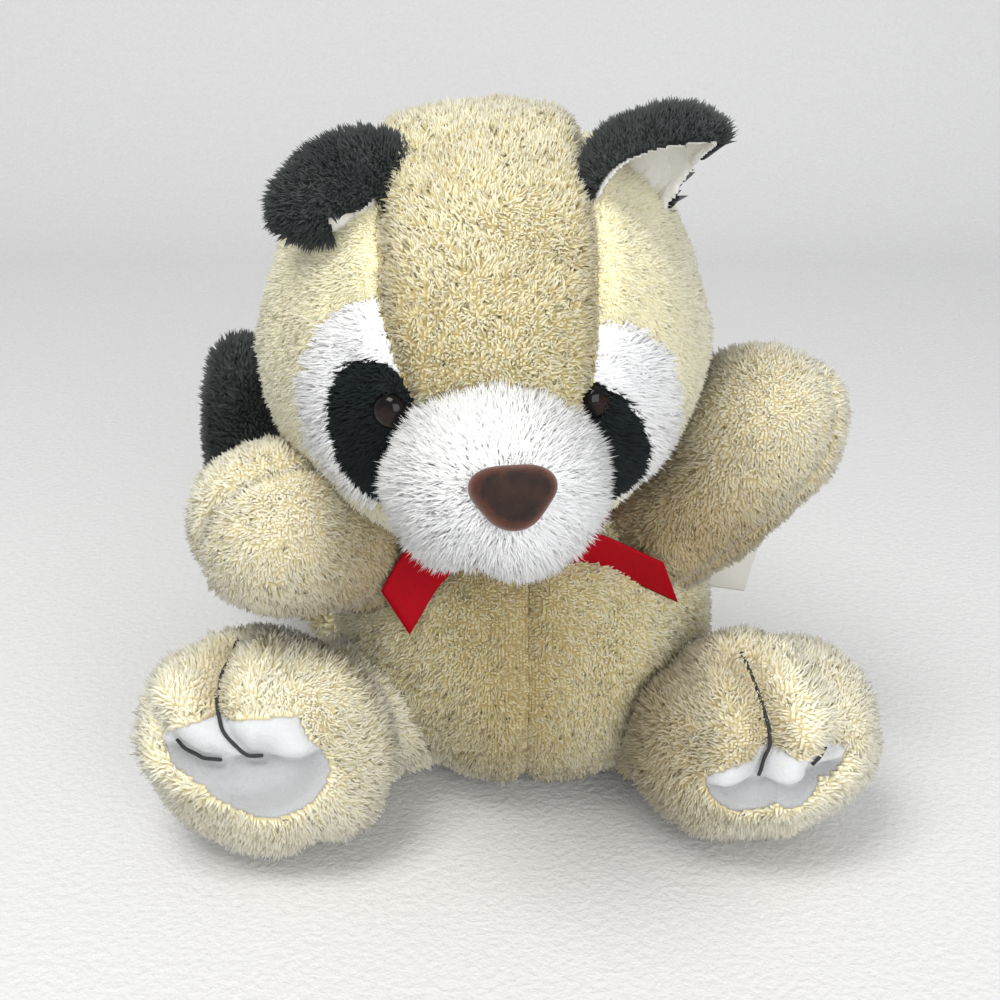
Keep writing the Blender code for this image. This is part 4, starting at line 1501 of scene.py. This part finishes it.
@dataclass
class Arm:
    """A raised arm, sewn from a front and a back panel."""

    word: str
    points: Tuple[Vector, Vector, Vector]
    sizes: Tuple[float, float, float] = (0.0180, 0.0200, 0.0245)
    inset: float = 0.0024
    seam_depth: float = 0.0020
    seam_width: float = 0.0022
    lumps: Tuple[float, float] = (0.0008, 0.0160)
    # Painted shade towards the shoulder by the head, and below
    shoulder_painted_shade: float = 1.50
    shade_tone: float = 0.30
    shade_drop: float = 0.0120
    shade_width: float = 0.0200
    turn: float = 0.0
    seed: int = 81

    def build(self) -> None:
        """Build the two panels."""
        bm = bmesh.new()
        limb_balls(bm, self.points, self.sizes, self.inset)
        form = one_skin(bm)
        along = (self.points[-1] - self.points[0]).normalized()
        forward = Vector((0, -1, 0))
        forward = (forward - along * forward.dot(along)).normalized()
        forward = np.array(Matrix.Rotation(self.turn, 3, along) @ forward)
        start, end = np.array(self.points[0]), np.array(self.points[-1])

        def tone(points: Array) -> Array:
            """Painted shade: darker towards the shoulder, by the head, and below.

            Args:
                points: Rows of points.

            Returns:
                A tone from 0 to 1 for each point.
            """
            share = (points - start) @ np.array(along) / np.linalg.norm(end - start)
            below = bell(np.maximum(points[:, 2] - start[2] + self.shade_drop, 0), self.shade_width)
            return np.clip(self.shoulder_painted_shade - share + self.shade_tone * below, 0, 1)

        def shape(points: Array) -> Array:
            """Sink the seam, add soft lumps."""
            return (-self.seam_depth * bell((points - end) @ forward, self.seam_width)
                    + self.lumps[0] * wave(points, self.lumps[1], self.seed))

        press(form, shape)
        middle = centres(form)
        hidden = in_body(middle)
        hidden |= in_head(middle, JOINED)
        front = (middle - end) @ forward > 0
        pile = Pile(0.0027, lean=0.4, comb=Comb.DOWN, wild=0.8, clump=0.45, clump_size=0.0020, swirl=0.9,
                    seed=self.seed)
        for word, mask in (("front", front), ("back", ~front)):
            sew("arm_%s_panel_%s" % (word, self.word), form, mask & ~hidden, FOOT, pile,
                ["arm_%s_%s" % (self.word, word)], tones=tone)
        bpy.data.meshes.remove(form)


@dataclass
class Leg:
    """A leg: thigh and foot in two panels, a napped sole, and toe stitches."""

    word: str
    side: int
    hip: Vector
    foot: Vector
    pitch: float
    sole_centre: Tuple[float, float]
    sole_edge: Tuple[Tuple[float, float], ...]
    fold: Tuple[Tuple[float, float], ...]
    stitches: Tuple[Tuple[Tuple[float, float], ...], ...]
    thigh: float = 0.0235
    radii: Vector = field(default_factory=lambda: Vector((0.0370, 0.0265, 0.0330)))
    yaw: float = math.radians(10)
    inset: float = 0.0026
    stitch_depth: float = 0.0040
    stitch_width: float = 0.0034
    swell: float = 0.60
    swell_from: float = 0.0095
    swell_width: float = 0.0055
    sole_seam: Tuple[float, float] = (0.0010, 0.0020)
    sole_rise: float = 0.0030
    fold_width: float = 0.0012
    # How fast the painted shade below the sole's fold fades
    fold_fade: float = 0.0200
    toe_low: float = 0.0010
    toe_rise: float = 0.0030
    # Painted shade beside the first stitch
    stitch_painted_shade: Tuple[float, float] = (0.7, 0.0060)
    lumps: Tuple[float, float] = (0.0008, 0.0140)
    trimmed: Tuple[float, float] = (0.62, 0.0032)
    hollow: float = 0.0022
    toe_swell: float = 0.0012
    deepest: float = 0.0023
    thread_proud: float = 0.0018
    thread_radius: float = 0.00054
    cast_from: float = 0.0200
    # Painted shade round the foot's inner side
    inner_painted_shade: float = 0.3
    seed: int = 91

    def place(self) -> Matrix:
        """The foot's frame: -Y out of the sole, Z up to the toes."""
        turned = Matrix.Translation(self.foot) @ Matrix.Rotation(self.side * self.yaw, 4, 'Z')
        return turned @ Matrix.Rotation(self.pitch, 4, 'X')

    def stitch_path(self, spots: Tuple[Tuple[float, float], ...]) -> List[Vector]:
        """Points on the foot along a stitch, from across and up in its frame.

        Args:
            spots: Across and up in the foot's frame.

        Returns:
            The stitch's smooth line.
        """
        a, b, c = (r - self.inset for r in self.radii)
        path = []
        for x, z in spots:
            depth = b * math.sqrt(max(0.0, 1.0 - (x / a) ** 2 - (z / c) ** 2))
            path.append(self.place() @ Vector((x, -depth, z)))
        return curve_through(path, STITCH_STEPS)

    def sole_gap(self, local: Array) -> Array:
        """How far points lie outside the sole's edge.

        Args:
            local: Points in the foot's frame.

        Returns:
            A distance for each point, below zero in the sole.
        """
        centre = np.array(self.sole_centre)
        edge = np.array(self.sole_edge) - centre
        turns = np.arctan2(edge[:, 1], edge[:, 0])
        order = np.argsort(turns)
        x, z = local[:, 0] - centre[0], local[:, 2] - centre[1]
        reach = np.interp(np.arctan2(z, x), turns[order], np.hypot(edge[:, 0], edge[:, 1])[order],
                          period=math.tau)
        return np.where(local[:, 1] < 0, np.hypot(x, z) - reach, 1.0)

    def below_fold(self, local: Array) -> Array:
        """How far points lie below the fold between the toes and the heel part."""
        line = np.array(self.fold)
        return np.interp(local[:, 0], line[:, 0], line[:, 1]) - local[:, 2]

    def build(self) -> None:
        """Build the panels, the sole and the stitches."""
        place = self.place()
        bm = bmesh.new()
        ball_at(bm, place, [r - self.inset for r in self.radii], 4)
        limb_balls(bm, (self.hip, self.hip.lerp(self.foot, 0.5), self.foot), (self.thigh,) * 3, self.inset)
        form = one_skin(bm)
        paths = [self.stitch_path(spots) for spots in self.stitches]

        def shape(points: Array) -> Array:
            """Pull in the toe stitches and the sole's edge, round the toes, fold the sole below them.

            Args:
                points: Rows of points.

            Returns:
                A depth for each point, above zero outwards.
            """
            local = moved(points, place.inverted())
            gap = self.sole_gap(local)
            low = self.below_fold(local)
            ahead = np.clip(-local[:, 1] / self.radii.y, 0, 1)
            inside = np.clip(-gap / self.sole_rise, 0, 1)
            push = -self.sole_seam[0] * bell(gap, self.sole_seam[1])
            push -= self.hollow * inside * np.clip(low / self.fold_width + 0.5, 0, 1)
            push += self.toe_swell * ahead * np.clip((self.toe_low - low) / self.toe_rise, 0, 1)
            for path in paths:
                far = segment_distance(points, path)
                beside = self.swell * bell(far - self.swell_from, self.swell_width)
                push += self.stitch_depth * (beside - bell(far, self.stitch_width))
            push += self.lumps[0] * wave(points, self.lumps[1], self.seed)
            return np.maximum(push, -self.deepest)

        def trim(points: Array) -> Array:
            """Shorter pile along the stitches.

            Args:
                points: Rows of points.

            Returns:
                The share of its length that each hair keeps.
            """
            keep = np.ones(len(points))
            for path in paths:
                near = bell(segment_distance(points, path), self.trimmed[1])
                keep = np.minimum(keep, 1.0 - self.trimmed[0] * near)
            return keep

        def sole_painted_shade(points: Array) -> Array:
            """Painted shade: darker just below the fold, where the heel part lies back."""
            low = self.below_fold(moved(points, place.inverted()))
            return np.clip(low / self.fold_width, 0, 1) * np.exp(-np.maximum(low, 0) / self.fold_fade)

        def tone(points: Array) -> Array:
            """Painted shade: darker along the first stitch and round the foot's inner side.

            Args:
                points: Rows of points.

            Returns:
                A tone from 0 to 1 for each point.
            """
            local = moved(points, place.inverted())
            inner = np.clip(-self.side * local[:, 0] / self.radii.x - 0.1, 0, 1)
            near = self.stitch_painted_shade[0] * bell(segment_distance(points, paths[0]), self.stitch_painted_shade[1])
            return np.clip(near + self.inner_painted_shade * inner, 0, 1)

        press(form, shape)
        set_down(form)
        middle = centres(form)
        local = moved(middle, place.inverted())
        hidden = in_body(middle)
        sole = (self.sole_gap(local) < 0) & ~hidden
        under = BVHTree.FromPolygons([tuple(p) for p in coordinates(form)],
                                     [tuple(f.vertices) for f in form.polygons])
        out = -(place.to_3x3().col[1])
        threads = []
        for path in paths:
            found = [under.ray_cast(spot + out * self.cast_from, -out)[0] for spot in path]
            threads.append([spot + out * self.thread_proud for spot in found if spot])
        along = (self.foot - self.hip).normalized()
        across = Vector((0, 0, 1)).cross(along).normalized()
        if across.x * self.side < 0:
            across.negate()
        outer = (middle - np.array(self.foot)) @ np.array(across) > 0
        toes = tuple(place @ Vector((0, -self.radii.y, 0)))
        pile = Pile(0.0032, lean=0.45, comb=Comb.FROM_POINT, source=toes, wild=0.75, clump=0.45,
                    clump_size=0.0020, swirl=0.8, seed=self.seed)
        for word, mask in (("outer", outer), ("inner", ~outer)):
            sew("leg_%s_panel_%s" % (word, self.word), form, mask & ~hidden & ~sole, FOOT, pile,
                ["leg_%s_%s" % (self.word, word)], tones=tone, trim=trim)
        sew("sole_panel_" + self.word, form, sole, SOLE, None, ["sole_" + self.word], tones=sole_painted_shade)
        bpy.data.meshes.remove(form)
        for number, path in enumerate(threads, 1):
            self.build_stitch(number, path)

    def build_stitch(self, number: int, path: List[Vector]) -> None:
        """One twisted thread stitch.

        Args:
            number: The stitch's number.
            path: Its line on the foot.
        """
        name = "toe_stitch_%s_%d" % (self.word, number)
        mesh = twisted_thread(path, self.thread_radius)
        put("thread_%s_%d" % (self.word, number), mesh,
            bpy.data.materials.get("black_thread_cotton") or thread_material(), [name])


def twisted_thread(path: Points, radius: float, segments: int = 12, plies: int = 3,
                   twist: float = 900.0) -> bpy.types.Mesh:
    """A thread of twisted plies along a path, its ends drawn in.

    Args:
        path: Points along it.
        radius: Its radius.
        segments: Faces round it.
        plies: How many plies are twisted.
        twist: How fast they turn, in radians a metre.

    Returns:
        The mesh.
    """
    line = curve_through(list(path), THREAD_STEPS)
    bm = bmesh.new()
    ring = None
    side = (line[1] - line[0]).orthogonal().normalized()
    run = 0.0
    tone: List[float] = []
    for i, spot in enumerate(line):
        along = (line[min(i + 1, len(line) - 1)] - line[max(i - 1, 0)]).normalized()
        side = (side - along * side.dot(along)).normalized()
        up = along.cross(side)
        run += (spot - line[i - 1]).length if i else 0.0
        end = min(i, len(line) - 1 - i)
        size = radius * min(1.0, 0.25 + 0.35 * end)
        verts = []
        for k in range(segments):
            angle = math.tau * k / segments
            lobe = abs(math.sin(plies / 2 * (angle + twist * run / plies)))
            r = size * (0.72 + 0.35 * lobe)
            verts.append(bm.verts.new(spot + r * (side * math.cos(angle) + up * math.sin(angle))))
            # Each ply's crest gets a high tone, which the material paints paler: painted shade between the
            # plies
            tone.append(lobe)
        edges = [bm.edges.new((verts[k], verts[(k + 1) % segments])) for k in range(segments)]
        if ring:
            bmesh.ops.bridge_loops(bm, edges=ring + edges)
        else:
            first = verts
        ring = edges
        last = verts
    for loop in (first, last):
        bm.faces.new(loop)
    bmesh.ops.recalc_face_normals(bm, faces=bm.faces)
    mesh = mesh_from(bm, "thread")
    set_value(mesh, "tone", np.array(tone))
    mesh.shade_smooth()
    return mesh


@dataclass
class Tail:
    """The tail, curling up behind the left arm: tan root, black tip."""

    points: Tuple[Vector, ...] = (Vector((-0.0150, 0.0300, 0.0200)), Vector((-0.0480, 0.0570, 0.0160)),
                                  Vector((-0.0750, 0.0660, 0.0440)), Vector((-0.0835, 0.0680, 0.0740)),
                                  Vector((-0.0825, 0.0680, 0.0980)))
    sizes: Tuple[float, ...] = (0.0140, 0.0165, 0.0175, 0.0175, 0.0160)
    tip_from: float = 0.0480
    seam_depth: float = 0.0016
    lumps: Tuple[float, float] = (0.0006, 0.0150)
    pitch: float = 0.0013
    inset: float = 0.0026

    def build(self) -> None:
        """Build the two panels."""
        bm = bmesh.new()
        limb_balls(bm, self.points, self.sizes, self.inset)
        form = one_skin(bm, self.pitch)
        press(form, lambda points: -self.seam_depth * bell(points[:, 2] - self.tip_from, SEAM_WIDTH)
              + self.lumps[0] * wave(points, self.lumps[1], 7))
        set_down(form)
        middle = centres(form)
        hidden = in_body(middle)
        high = middle[:, 2] > self.tip_from
        pile = Pile(0.0040, lean=0.6, comb=Comb.UP, wild=0.6, clump=0.4, seed=101)
        sew("tail_root_panel", form, ~high & ~hidden, TAN, pile, ["tail_root"])
        sew("tail_tip_panel", form, high & ~hidden, BLACK, pile, ["tail_tip"])
        bpy.data.meshes.remove(form)


@dataclass
class Face:
    """The hard parts of the face: two domed eyes and the flocked nose."""

    eye_radius: float = 0.0045
    eye_height: float = 0.0033
    eye_out: float = 0.0258
    eye_up: float = -0.0030
    eye_sunk: Tuple[float, float] = (0.0022, 0.0048)
    stem_radius: float = 0.0016
    stem_length: float = 0.0110
    eye_rim: float = 0.0004
    nose_half_width: float = 0.0094
    nose_half_height: float = 0.0072
    nose_thickness: float = 0.0062
    nose_out: float = 0.0018
    nose_up: float = 0.0090
    nose_proud: float = 0.0010
    nose_corner: float = 0.105

    def surface(self, radii: Vector, x: float, z: float, centre: Vector) -> Matrix:
        """A frame on an ellipsoid of the head whose Z runs out of it.

        Args:
            radii: The ellipsoid's radii.
            x: How far across.
            z: How far up.
            centre: Its centre in the head's frame.

        Returns:
            The frame.
        """
        depth = radii.y * math.sqrt(1.0 - (x / radii.x) ** 2 - (z / radii.z) ** 2)
        spot = Vector((x, -depth, z))
        normal = Vector([spot[i] / radii[i] ** 2 for i in range(3)]).normalized()
        turn = normal.to_track_quat('Z', 'Y').to_matrix().to_4x4()
        return head_frame() @ Matrix.Translation(centre + spot) @ turn

    def build(self) -> None:
        """Build both eyes and the nose."""
        material = eye_material()
        for side, word in ((-1, "left"), (1, "right")):
            place = self.surface(HEAD_RADII, side * self.eye_out, self.eye_up, Vector())
            put("eye_dome_" + word, self.eye(place, self.eye_sunk[side > 0]), material,
                ["eye_" + word])
        place = self.surface(MUZZLE_RADII, self.nose_out, self.nose_up, MUZZLE_OFFSET)
        put("nose_pad", self.nose(place), nose_material(), ["nose"])

    def eye(self, place: Matrix, sunk: float) -> bpy.types.Mesh:
        """A domed eye with a thin rim, on its stem, sunk into the pile.

        Args:
            place: The eye's frame.
            sunk: How deep it sits.

        Returns:
            The mesh.
        """
        bm = bmesh.new()
        base = -sunk
        rim = self.eye_rim
        profile = [(self.stem_radius, base - self.stem_length), (self.stem_radius, base - rim),
                   (self.eye_radius * 0.9, base - rim / 2), (self.eye_radius, base + rim / 2)]
        profile += [(self.eye_radius * math.cos(a), base + rim + self.eye_height * math.sin(a))
                    for a in (math.pi / 2 * k / 14 for k in range(15))]
        profile[-1] = (0.0, profile[-1][1])
        profile.insert(0, (0.0, profile[0][1]))
        verts = [bm.verts.new((r, 0.0, z)) for r, z in profile]
        edges = [bm.edges.new(pair) for pair in zip(verts, verts[1:])]
        bmesh.ops.spin(bm, geom=verts + edges, axis=(0, 0, 1), cent=(0, 0, 0), steps=48,
                       angle=math.tau, use_merge=True)
        bmesh.ops.remove_doubles(bm, verts=bm.verts, dist=1e-6)
        bmesh.ops.recalc_face_normals(bm, faces=bm.faces)
        tone = np.array([1.0 - min(1.0, math.hypot(v.co.x, v.co.y) / self.eye_radius) for v in bm.verts])
        bmesh.ops.transform(bm, matrix=place, verts=bm.verts)
        mesh = mesh_from(bm, "eye")
        set_value(mesh, "tone", tone)
        mesh.shade_smooth()
        return mesh

    def nose(self, place: Matrix) -> bpy.types.Mesh:
        """A domed, rounded triangle, point down.

        Args:
            place: The nose's frame.

        Returns:
            The mesh.
        """
        bm = bmesh.new()
        bmesh.ops.create_uvsphere(bm, u_segments=96, v_segments=48, radius=1.0)
        tone = []
        for vert in bm.verts:
            angle = math.atan2(vert.co.y, vert.co.x)
            flat = math.hypot(vert.co.x, vert.co.y)
            swell = 1.0 + self.nose_corner * math.cos(3 * (angle + math.pi / 2))
            vert.co.x *= swell * self.nose_half_width
            vert.co.y *= swell * self.nose_half_height
            top = vert.co.z
            vert.co.z = math.copysign(abs(top) ** 0.8, top) * self.nose_thickness
            tone.append(flat ** 3 if top > 0 else 1.0)
        bmesh.ops.transform(bm, matrix=place @ Matrix.Translation((0, 0, self.nose_proud)), verts=bm.verts)
        mesh = mesh_from(bm, "nose")
        set_value(mesh, "tone", np.array(tone))
        mesh.shade_smooth()
        return mesh


@dataclass
class Ribbon:
    """The red ribbon: band round the neck, knot and two tails."""

    width: float = 0.0130
    thickness: float = 0.00045
    band_radius: float = 0.0310
    band_along: float = 0.0480
    knot_radii: Vector = field(default_factory=lambda: Vector((0.0065, 0.0035, 0.0060)))
    left: Tuple[Vector, ...] = (Vector((0.0, 0.0, 0.0)), Vector((-0.0130, 0.0000, 0.0020)),
                                Vector((-0.0222, 0.0020, -0.0045)), Vector((-0.0310, 0.0010, -0.0195)))
    right: Tuple[Vector, ...] = (Vector((0.0, 0.0, 0.0)), Vector((0.0110, 0.0010, 0.0000)),
                                 Vector((0.0235, 0.0060, -0.0025)), Vector((0.0446, 0.0070, -0.0130)))
    slants: Tuple[float, float] = (-0.0075, -0.0120)
    knot_cloth: float = 0.0300
    left_width: Vector = field(default_factory=lambda: Vector((-0.5, 0.1, 0.8)))
    right_width: Vector = field(default_factory=lambda: Vector((0.3, -0.45, 0.8)))

    def strip(self, bm: bmesh.types.BMesh, path: Points, ways: Points, closed: bool = False,
              slant: float = 0.0) -> None:
        """Add a flat strip along a path.

        Args:
            bm: The bmesh.
            path: Points along the strip's middle.
            ways: The way of its width at each point.
            closed: Whether it is a ring.
            slant: How far one corner of its end runs out.
        """
        rows = []
        for i, (spot, way) in enumerate(zip(path, ways)):
            row = []
            for k in range(RIBBON_CUTS + 1):
                share = k / RIBBON_CUTS - 0.5
                out = Vector()
                if slant:
                    out = (path[-1] - path[-2]).normalized() * slant * share * (i / (len(path) - 1)) ** 2
                row.append(bm.verts.new(spot + way * self.width * share + out))
            rows.append(row)
        if closed:
            rows.append(rows[0])
        for one, two in zip(rows, rows[1:]):
            edges_one = [bm.edges.get(p) or bm.edges.new(p) for p in zip(one, one[1:])]
            edges_two = [bm.edges.get(p) or bm.edges.new(p) for p in zip(two, two[1:])]
            bmesh.ops.bridge_loops(bm, edges=edges_one + edges_two)

    def build(self) -> None:
        """Build the ribbon as one piece of cloth with a thickness."""
        along = (HEAD_CENTRE - BODY_CENTRE).normalized()
        middle = BODY_CENTRE + along * self.band_along
        forward = Vector((0, -1, 0))
        forward = (forward - along * forward.dot(along)).normalized()
        side = along.cross(forward)
        bm = bmesh.new()
        ring = [middle + self.band_radius * (forward * math.cos(a) + side * math.sin(a))
                for a in (math.tau * k / 72 for k in range(72))]
        self.strip(bm, ring, [along] * len(ring), True)
        spot = middle + forward * (self.band_radius + self.knot_radii.y / 2)
        for points, wide, slant in ((self.left, self.left_width, self.slants[0]),
                                    (self.right, self.right_width, self.slants[1])):
            path = curve_through([spot + p for p in points], RIBBON_STEPS)
            ways = []
            for i in range(len(path)):
                run = (path[min(i + 1, len(path) - 1)] - path[max(i - 1, 0)]).normalized()
                ways.append((wide - run * wide.dot(run)).normalized())
            self.strip(bm, path, ways, False, slant)
        bmesh.ops.recalc_face_normals(bm, faces=bm.faces)
        thicken(bm, self.thickness)
        ball_at(bm, Matrix.Translation(spot), self.knot_radii, 4)
        mesh = mesh_from(bm, "ribbon")
        self.mark_cloth(mesh)
        satin = woven_material("red_ribbon_satin", (0.20, 0.0006, 0.004), (0.36, 0.0010, 0.008),
                               across=3.2, along=1.6, roughness=0.60, sheen=0.0)
        obj = put("ribbon", mesh, satin, ["neck_ribbon"])

    def mark_cloth(self, mesh: bpy.types.Mesh) -> None:
        """Store where the threads run.

        Args:
            mesh: The ribbon's mesh.
        """
        points = coordinates(mesh)
        along = np.array((HEAD_CENTRE - BODY_CENTRE).normalized())
        rows = np.stack([points @ along, points[:, 0] - points[:, 1], points[:, 2]], axis=1) * 1000
        mark_threads(mesh, rows)


@dataclass
class Label:
    """The bare cloth label, sewn into the side seam."""

    size: Tuple[float, float] = (0.0125, 0.0170)
    thickness: float = 0.00045
    turn: float = math.radians(12)
    curl: float = 0.0012

    def build(self) -> None:
        """Build the label in the space of its CAD node."""
        low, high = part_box("side_label")
        middle = (Vector(low) + Vector(high)) / 2
        place = Matrix.Translation(middle) @ Matrix.Rotation(self.turn, 4, 'Y')
        bm = bmesh.new()
        bmesh.ops.create_grid(bm, x_segments=24, y_segments=32, size=0.5)
        for vert in bm.verts:
            x, z = vert.co.x, vert.co.y
            out = self.curl * math.sin(2.2 * x) * math.cos(2.0 * z)
            vert.co = Vector((x * self.size[0], out, z * self.size[1]))
        bmesh.ops.transform(bm, matrix=place, verts=bm.verts)
        thicken(bm, self.thickness)
        mesh = mesh_from(bm, "label")
        points = moved(coordinates(mesh), place.inverted()) * 1000
        mark_threads(mesh, points[:, [0, 2, 1]])
        cloth = woven_material("label_cloth_woven", (0.54, 0.53, 0.48), (0.70, 0.69, 0.65),
                               across=3.0, along=3.0, roughness=0.75, sheen=0.1)
        obj = put("label", mesh, cloth, ["side_label"])


@dataclass
class Insides:
    """The stuffing and the lock washers, carried over with their own materials."""

    def dress(self) -> None:
        """Give the carried-over nodes their materials."""
        wool = plain_material("polyester_stuffing", (0.72, 0.72, 0.70), (0.88, 0.88, 0.86),
                              scale=260.0, roughness=1.0, bump_depth=0.002)
        plastic = plain_material("washer_moulding", (0.62, 0.62, 0.60), (0.76, 0.76, 0.74),
                                 scale=700.0, roughness=0.4, bump_depth=0.0002)
        for name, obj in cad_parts.items():
            for ending, material in (("stuffing", wool), ("washer", plastic)):
                if name.endswith(ending):
                    obj.data.materials.clear()
                    obj.data.materials.append(material)


@dataclass
class Studio:
    """The pale floor and backdrop, the lamps and the camera."""

    target: Vector = field(default_factory=lambda: Vector((0.0, -0.010, 0.090)))
    distance: float = 0.43
    down: float = math.radians(25)
    lens: float = 54.0
    floor_bend: float = 0.25
    floor_back: float = 0.55
    floor_reach: float = 1.6

    def build(self) -> None:
        """Set the stage."""
        self.floor()
        self.lamps()
        self.camera()

    def floor(self) -> None:
        """A pale fleece floor that rises into a backdrop."""
        bm = bmesh.new()
        bend, back, wide = self.floor_bend, self.floor_back, self.floor_reach
        profile = [(-wide, 0.0), (back, 0.0)]
        profile += [(back + bend * math.sin(a), bend * (1 - math.cos(a)))
                    for a in (math.pi / 2 * k / 12 for k in range(1, 13))]
        profile.append((back + bend, wide))
        verts = [bm.verts.new((-wide, y, z)) for y, z in profile]
        edges = [bm.edges.new(pair) for pair in zip(verts, verts[1:])]
        grown = bmesh.ops.extrude_edge_only(bm, edges=edges)
        new = [g for g in grown["geom"] if isinstance(g, bmesh.types.BMVert)]
        bmesh.ops.translate(bm, verts=new, vec=(2 * wide, 0, 0))
        bmesh.ops.recalc_face_normals(bm, faces=bm.faces)
        mesh = mesh_from(bm, "floor")
        mesh.shade_smooth()
        made = principled("pale_floor", 0.95)
        n = made.nodes
        where = n.add("TexCoord").outputs["Object"]
        fleece = n.noise(where, 420.0, 3.0, 0.6)
        colour = n.mix(fleece, (0.575, 0.575, 0.575, 1), (0.655, 0.655, 0.655, 1))
        made.join(colour, "Base Color")
        made.bump(fleece, strength=0.5, depth=0.0012)
        mesh.materials.append(made.material)
        add_object("floor", mesh)

    def lamp(self, name: str, spot: Vector, size: float, power: float, colour: Colour) -> None:
        """A square soft lamp that faces the target.

        Args:
            name: The lamp's name.
            spot: Where it stands.
            size: Its side.
            power: Its power in watts.
            colour: Its colour.
        """
        data = bpy.data.lights.new(name, 'AREA')
        data.shape = 'SQUARE'
        data.size = size
        data.energy = power
        data.color = colour
        obj = add_object(name, data)
        obj.location = spot
        obj.rotation_euler = (self.target - spot).to_track_quat('-Z', 'Y').to_euler()

    def lamps(self) -> None:
        """A broad key from above left, a soft fill in front, and an even world."""
        self.lamp("key", Vector((-0.30, -0.40, 1.10)), size=0.50, power=8.8, colour=(1.0, 0.99, 0.96))
        self.lamp("fill", Vector((0.30, -1.08, 0.50)), size=0.80, power=10.4, colour=(0.99, 0.99, 1.0))
        world = bpy.data.worlds.new("room")
        world.use_nodes = True
        back = world.node_tree.nodes["Background"]
        back.inputs["Color"].default_value = (0.97, 0.98, 1.0, 1.0)
        back.inputs["Strength"].default_value = 0.66
        bpy.context.scene.world = world

    def camera(self) -> None:
        """The photograph's view."""
        data = bpy.data.cameras.new("camera")
        data.sensor_width = 36.0
        data.lens = self.lens
        data.clip_start = 0.01
        obj = add_object("camera", data)
        away = Vector((0.0, -math.cos(self.down), math.sin(self.down)))
        obj.location = self.target + self.distance * away
        obj.rotation_euler = (math.pi / 2 - self.down, 0.0, 0.0)
        bpy.context.scene.camera = obj
        bpy.context.scene.view_settings.view_transform = 'Standard'


def ears() -> Tuple[Ear, Ear]:
    """The left ear, folded over, and the right one, open to the front.

    Returns:
        Both ears.
    """
    left = Ear("left", Vector((-0.0353, -0.0225, 0.0435)), Vector((-0.816, -0.442, -0.372)),
               Vector((0.204, -0.824, 0.529)), Vector((0.0130, 0.0095, 0.0203)), fold=0.6, seed=61)
    right = Ear("right", Vector((0.0374, -0.0200, 0.0432)), Vector((0.38, -0.25, 0.89)),
                Vector((-0.5355, 0.7029, 0.4605)), Vector((0.0176, 0.0150, 0.0262)), point=0.26,
                bend=0.0120, rim=0.0080, seed=65)
    return left, right


def arms() -> Tuple[Arm, Arm]:
    """Both raised arms, from the shoulder to the paw.

    Returns:
        Both arms.
    """
    left = Arm("left", (Vector((-0.0280, -0.0080, 0.0700)), Vector((-0.0420, -0.0240, 0.0840)),
                        Vector((-0.0600, -0.0390, 0.0960))), seed=81)
    right = Arm("right", (Vector((0.0360, -0.0100, 0.0740)), Vector((0.0545, -0.0150, 0.0905)),
                          Vector((0.0725, -0.0150, 0.1150))), turn=math.radians(-50), seed=85)
    return left, right


def left_leg() -> Leg:
    """The left leg, its sole with three toe stitches.

    Returns:
        The leg.
    """
    return Leg(
        "left", side=-1, hip=Vector((-0.0240, -0.0060, 0.0250)), foot=Vector((-0.0645, -0.0480, 0.0325)),
        pitch=math.radians(-4), sole_centre=(-0.0010, 0.0050),
        sole_edge=((-0.0253, 0.0089), (-0.0177, 0.0157), (-0.0088, 0.0180), (-0.0040, 0.0182),
                   (0.0070, 0.0205), (0.0142, 0.0195), (0.0172, 0.0152), (0.0217, 0.0075),
                   (0.0227, 0.0037), (0.0184, -0.0044), (0.0091, -0.0097), (0.0016, -0.0095),
                   (-0.0037, -0.0050), (-0.0106, 0.0000), (-0.0208, 0.0033)),
        fold=((-0.0253, 0.0080), (-0.0122, 0.0068), (-0.0054, 0.0072), (0.0014, 0.0098), (0.0160, 0.0100),
              (0.0220, 0.0120)),
        stitches=(((-0.0091, 0.0297), (-0.0094, 0.0253), (-0.0082, 0.0207), (-0.0047, 0.0156),
                   (0.0014, 0.0105), (0.0062, 0.0100)),
                  ((-0.0196, 0.0097), (-0.0122, 0.0070), (-0.0054, 0.0073)),
                  ((-0.0296, 0.0144), (-0.0257, 0.0124))),
        seed=91)


def right_leg() -> Leg:
    """The right leg, its sole with two toe stitches.

    Returns:
        The leg.
    """
    return Leg(
        "right", side=1, hip=Vector((0.0360, -0.0060, 0.0250)), foot=Vector((0.0714, -0.0450, 0.0325)),
        pitch=math.radians(14), sole_centre=(-0.0010, 0.0080),
        sole_edge=((-0.0204, 0.0067), (-0.0186, 0.0106), (-0.0089, 0.0140), (-0.0044, 0.0166),
                   (0.0028, 0.0165), (0.0112, 0.0152), (0.0187, 0.0128), (0.0168, 0.0085),
                   (0.0097, 0.0064), (-0.0022, 0.0036), (-0.0104, -0.0010), (-0.0154, -0.0008),
                   (-0.0191, 0.0030)),
        fold=((-0.0204, 0.0060), (-0.0068, 0.0086), (0.0097, 0.0096), (0.0187, 0.0110)),
        stitches=(((-0.0074, 0.0318), (-0.0067, 0.0301), (-0.0049, 0.0262), (-0.0037, 0.0189),
                   (-0.0053, 0.0146), (-0.0068, 0.0095)),
                  ((0.0124, 0.0147), (0.0102, 0.0123), (0.0081, 0.0111))),
        inner_painted_shade=1.2, seed=95)


def main() -> None:
    """Build the raccoon's looks and its stage."""
    logging.basicConfig(level=logging.INFO, format="%(message)s")
    Studio().build()
    Head().build()
    for ear in ears():
        ear.build()
    Face().build()
    Body().build()
    for arm in arms():
        arm.build()
    for leg in (left_leg(), right_leg()):
        leg.build()
    Tail().build()
    Ribbon().build()
    Label().build()
    Insides().dress()


if __name__ == "__main__":
    main()
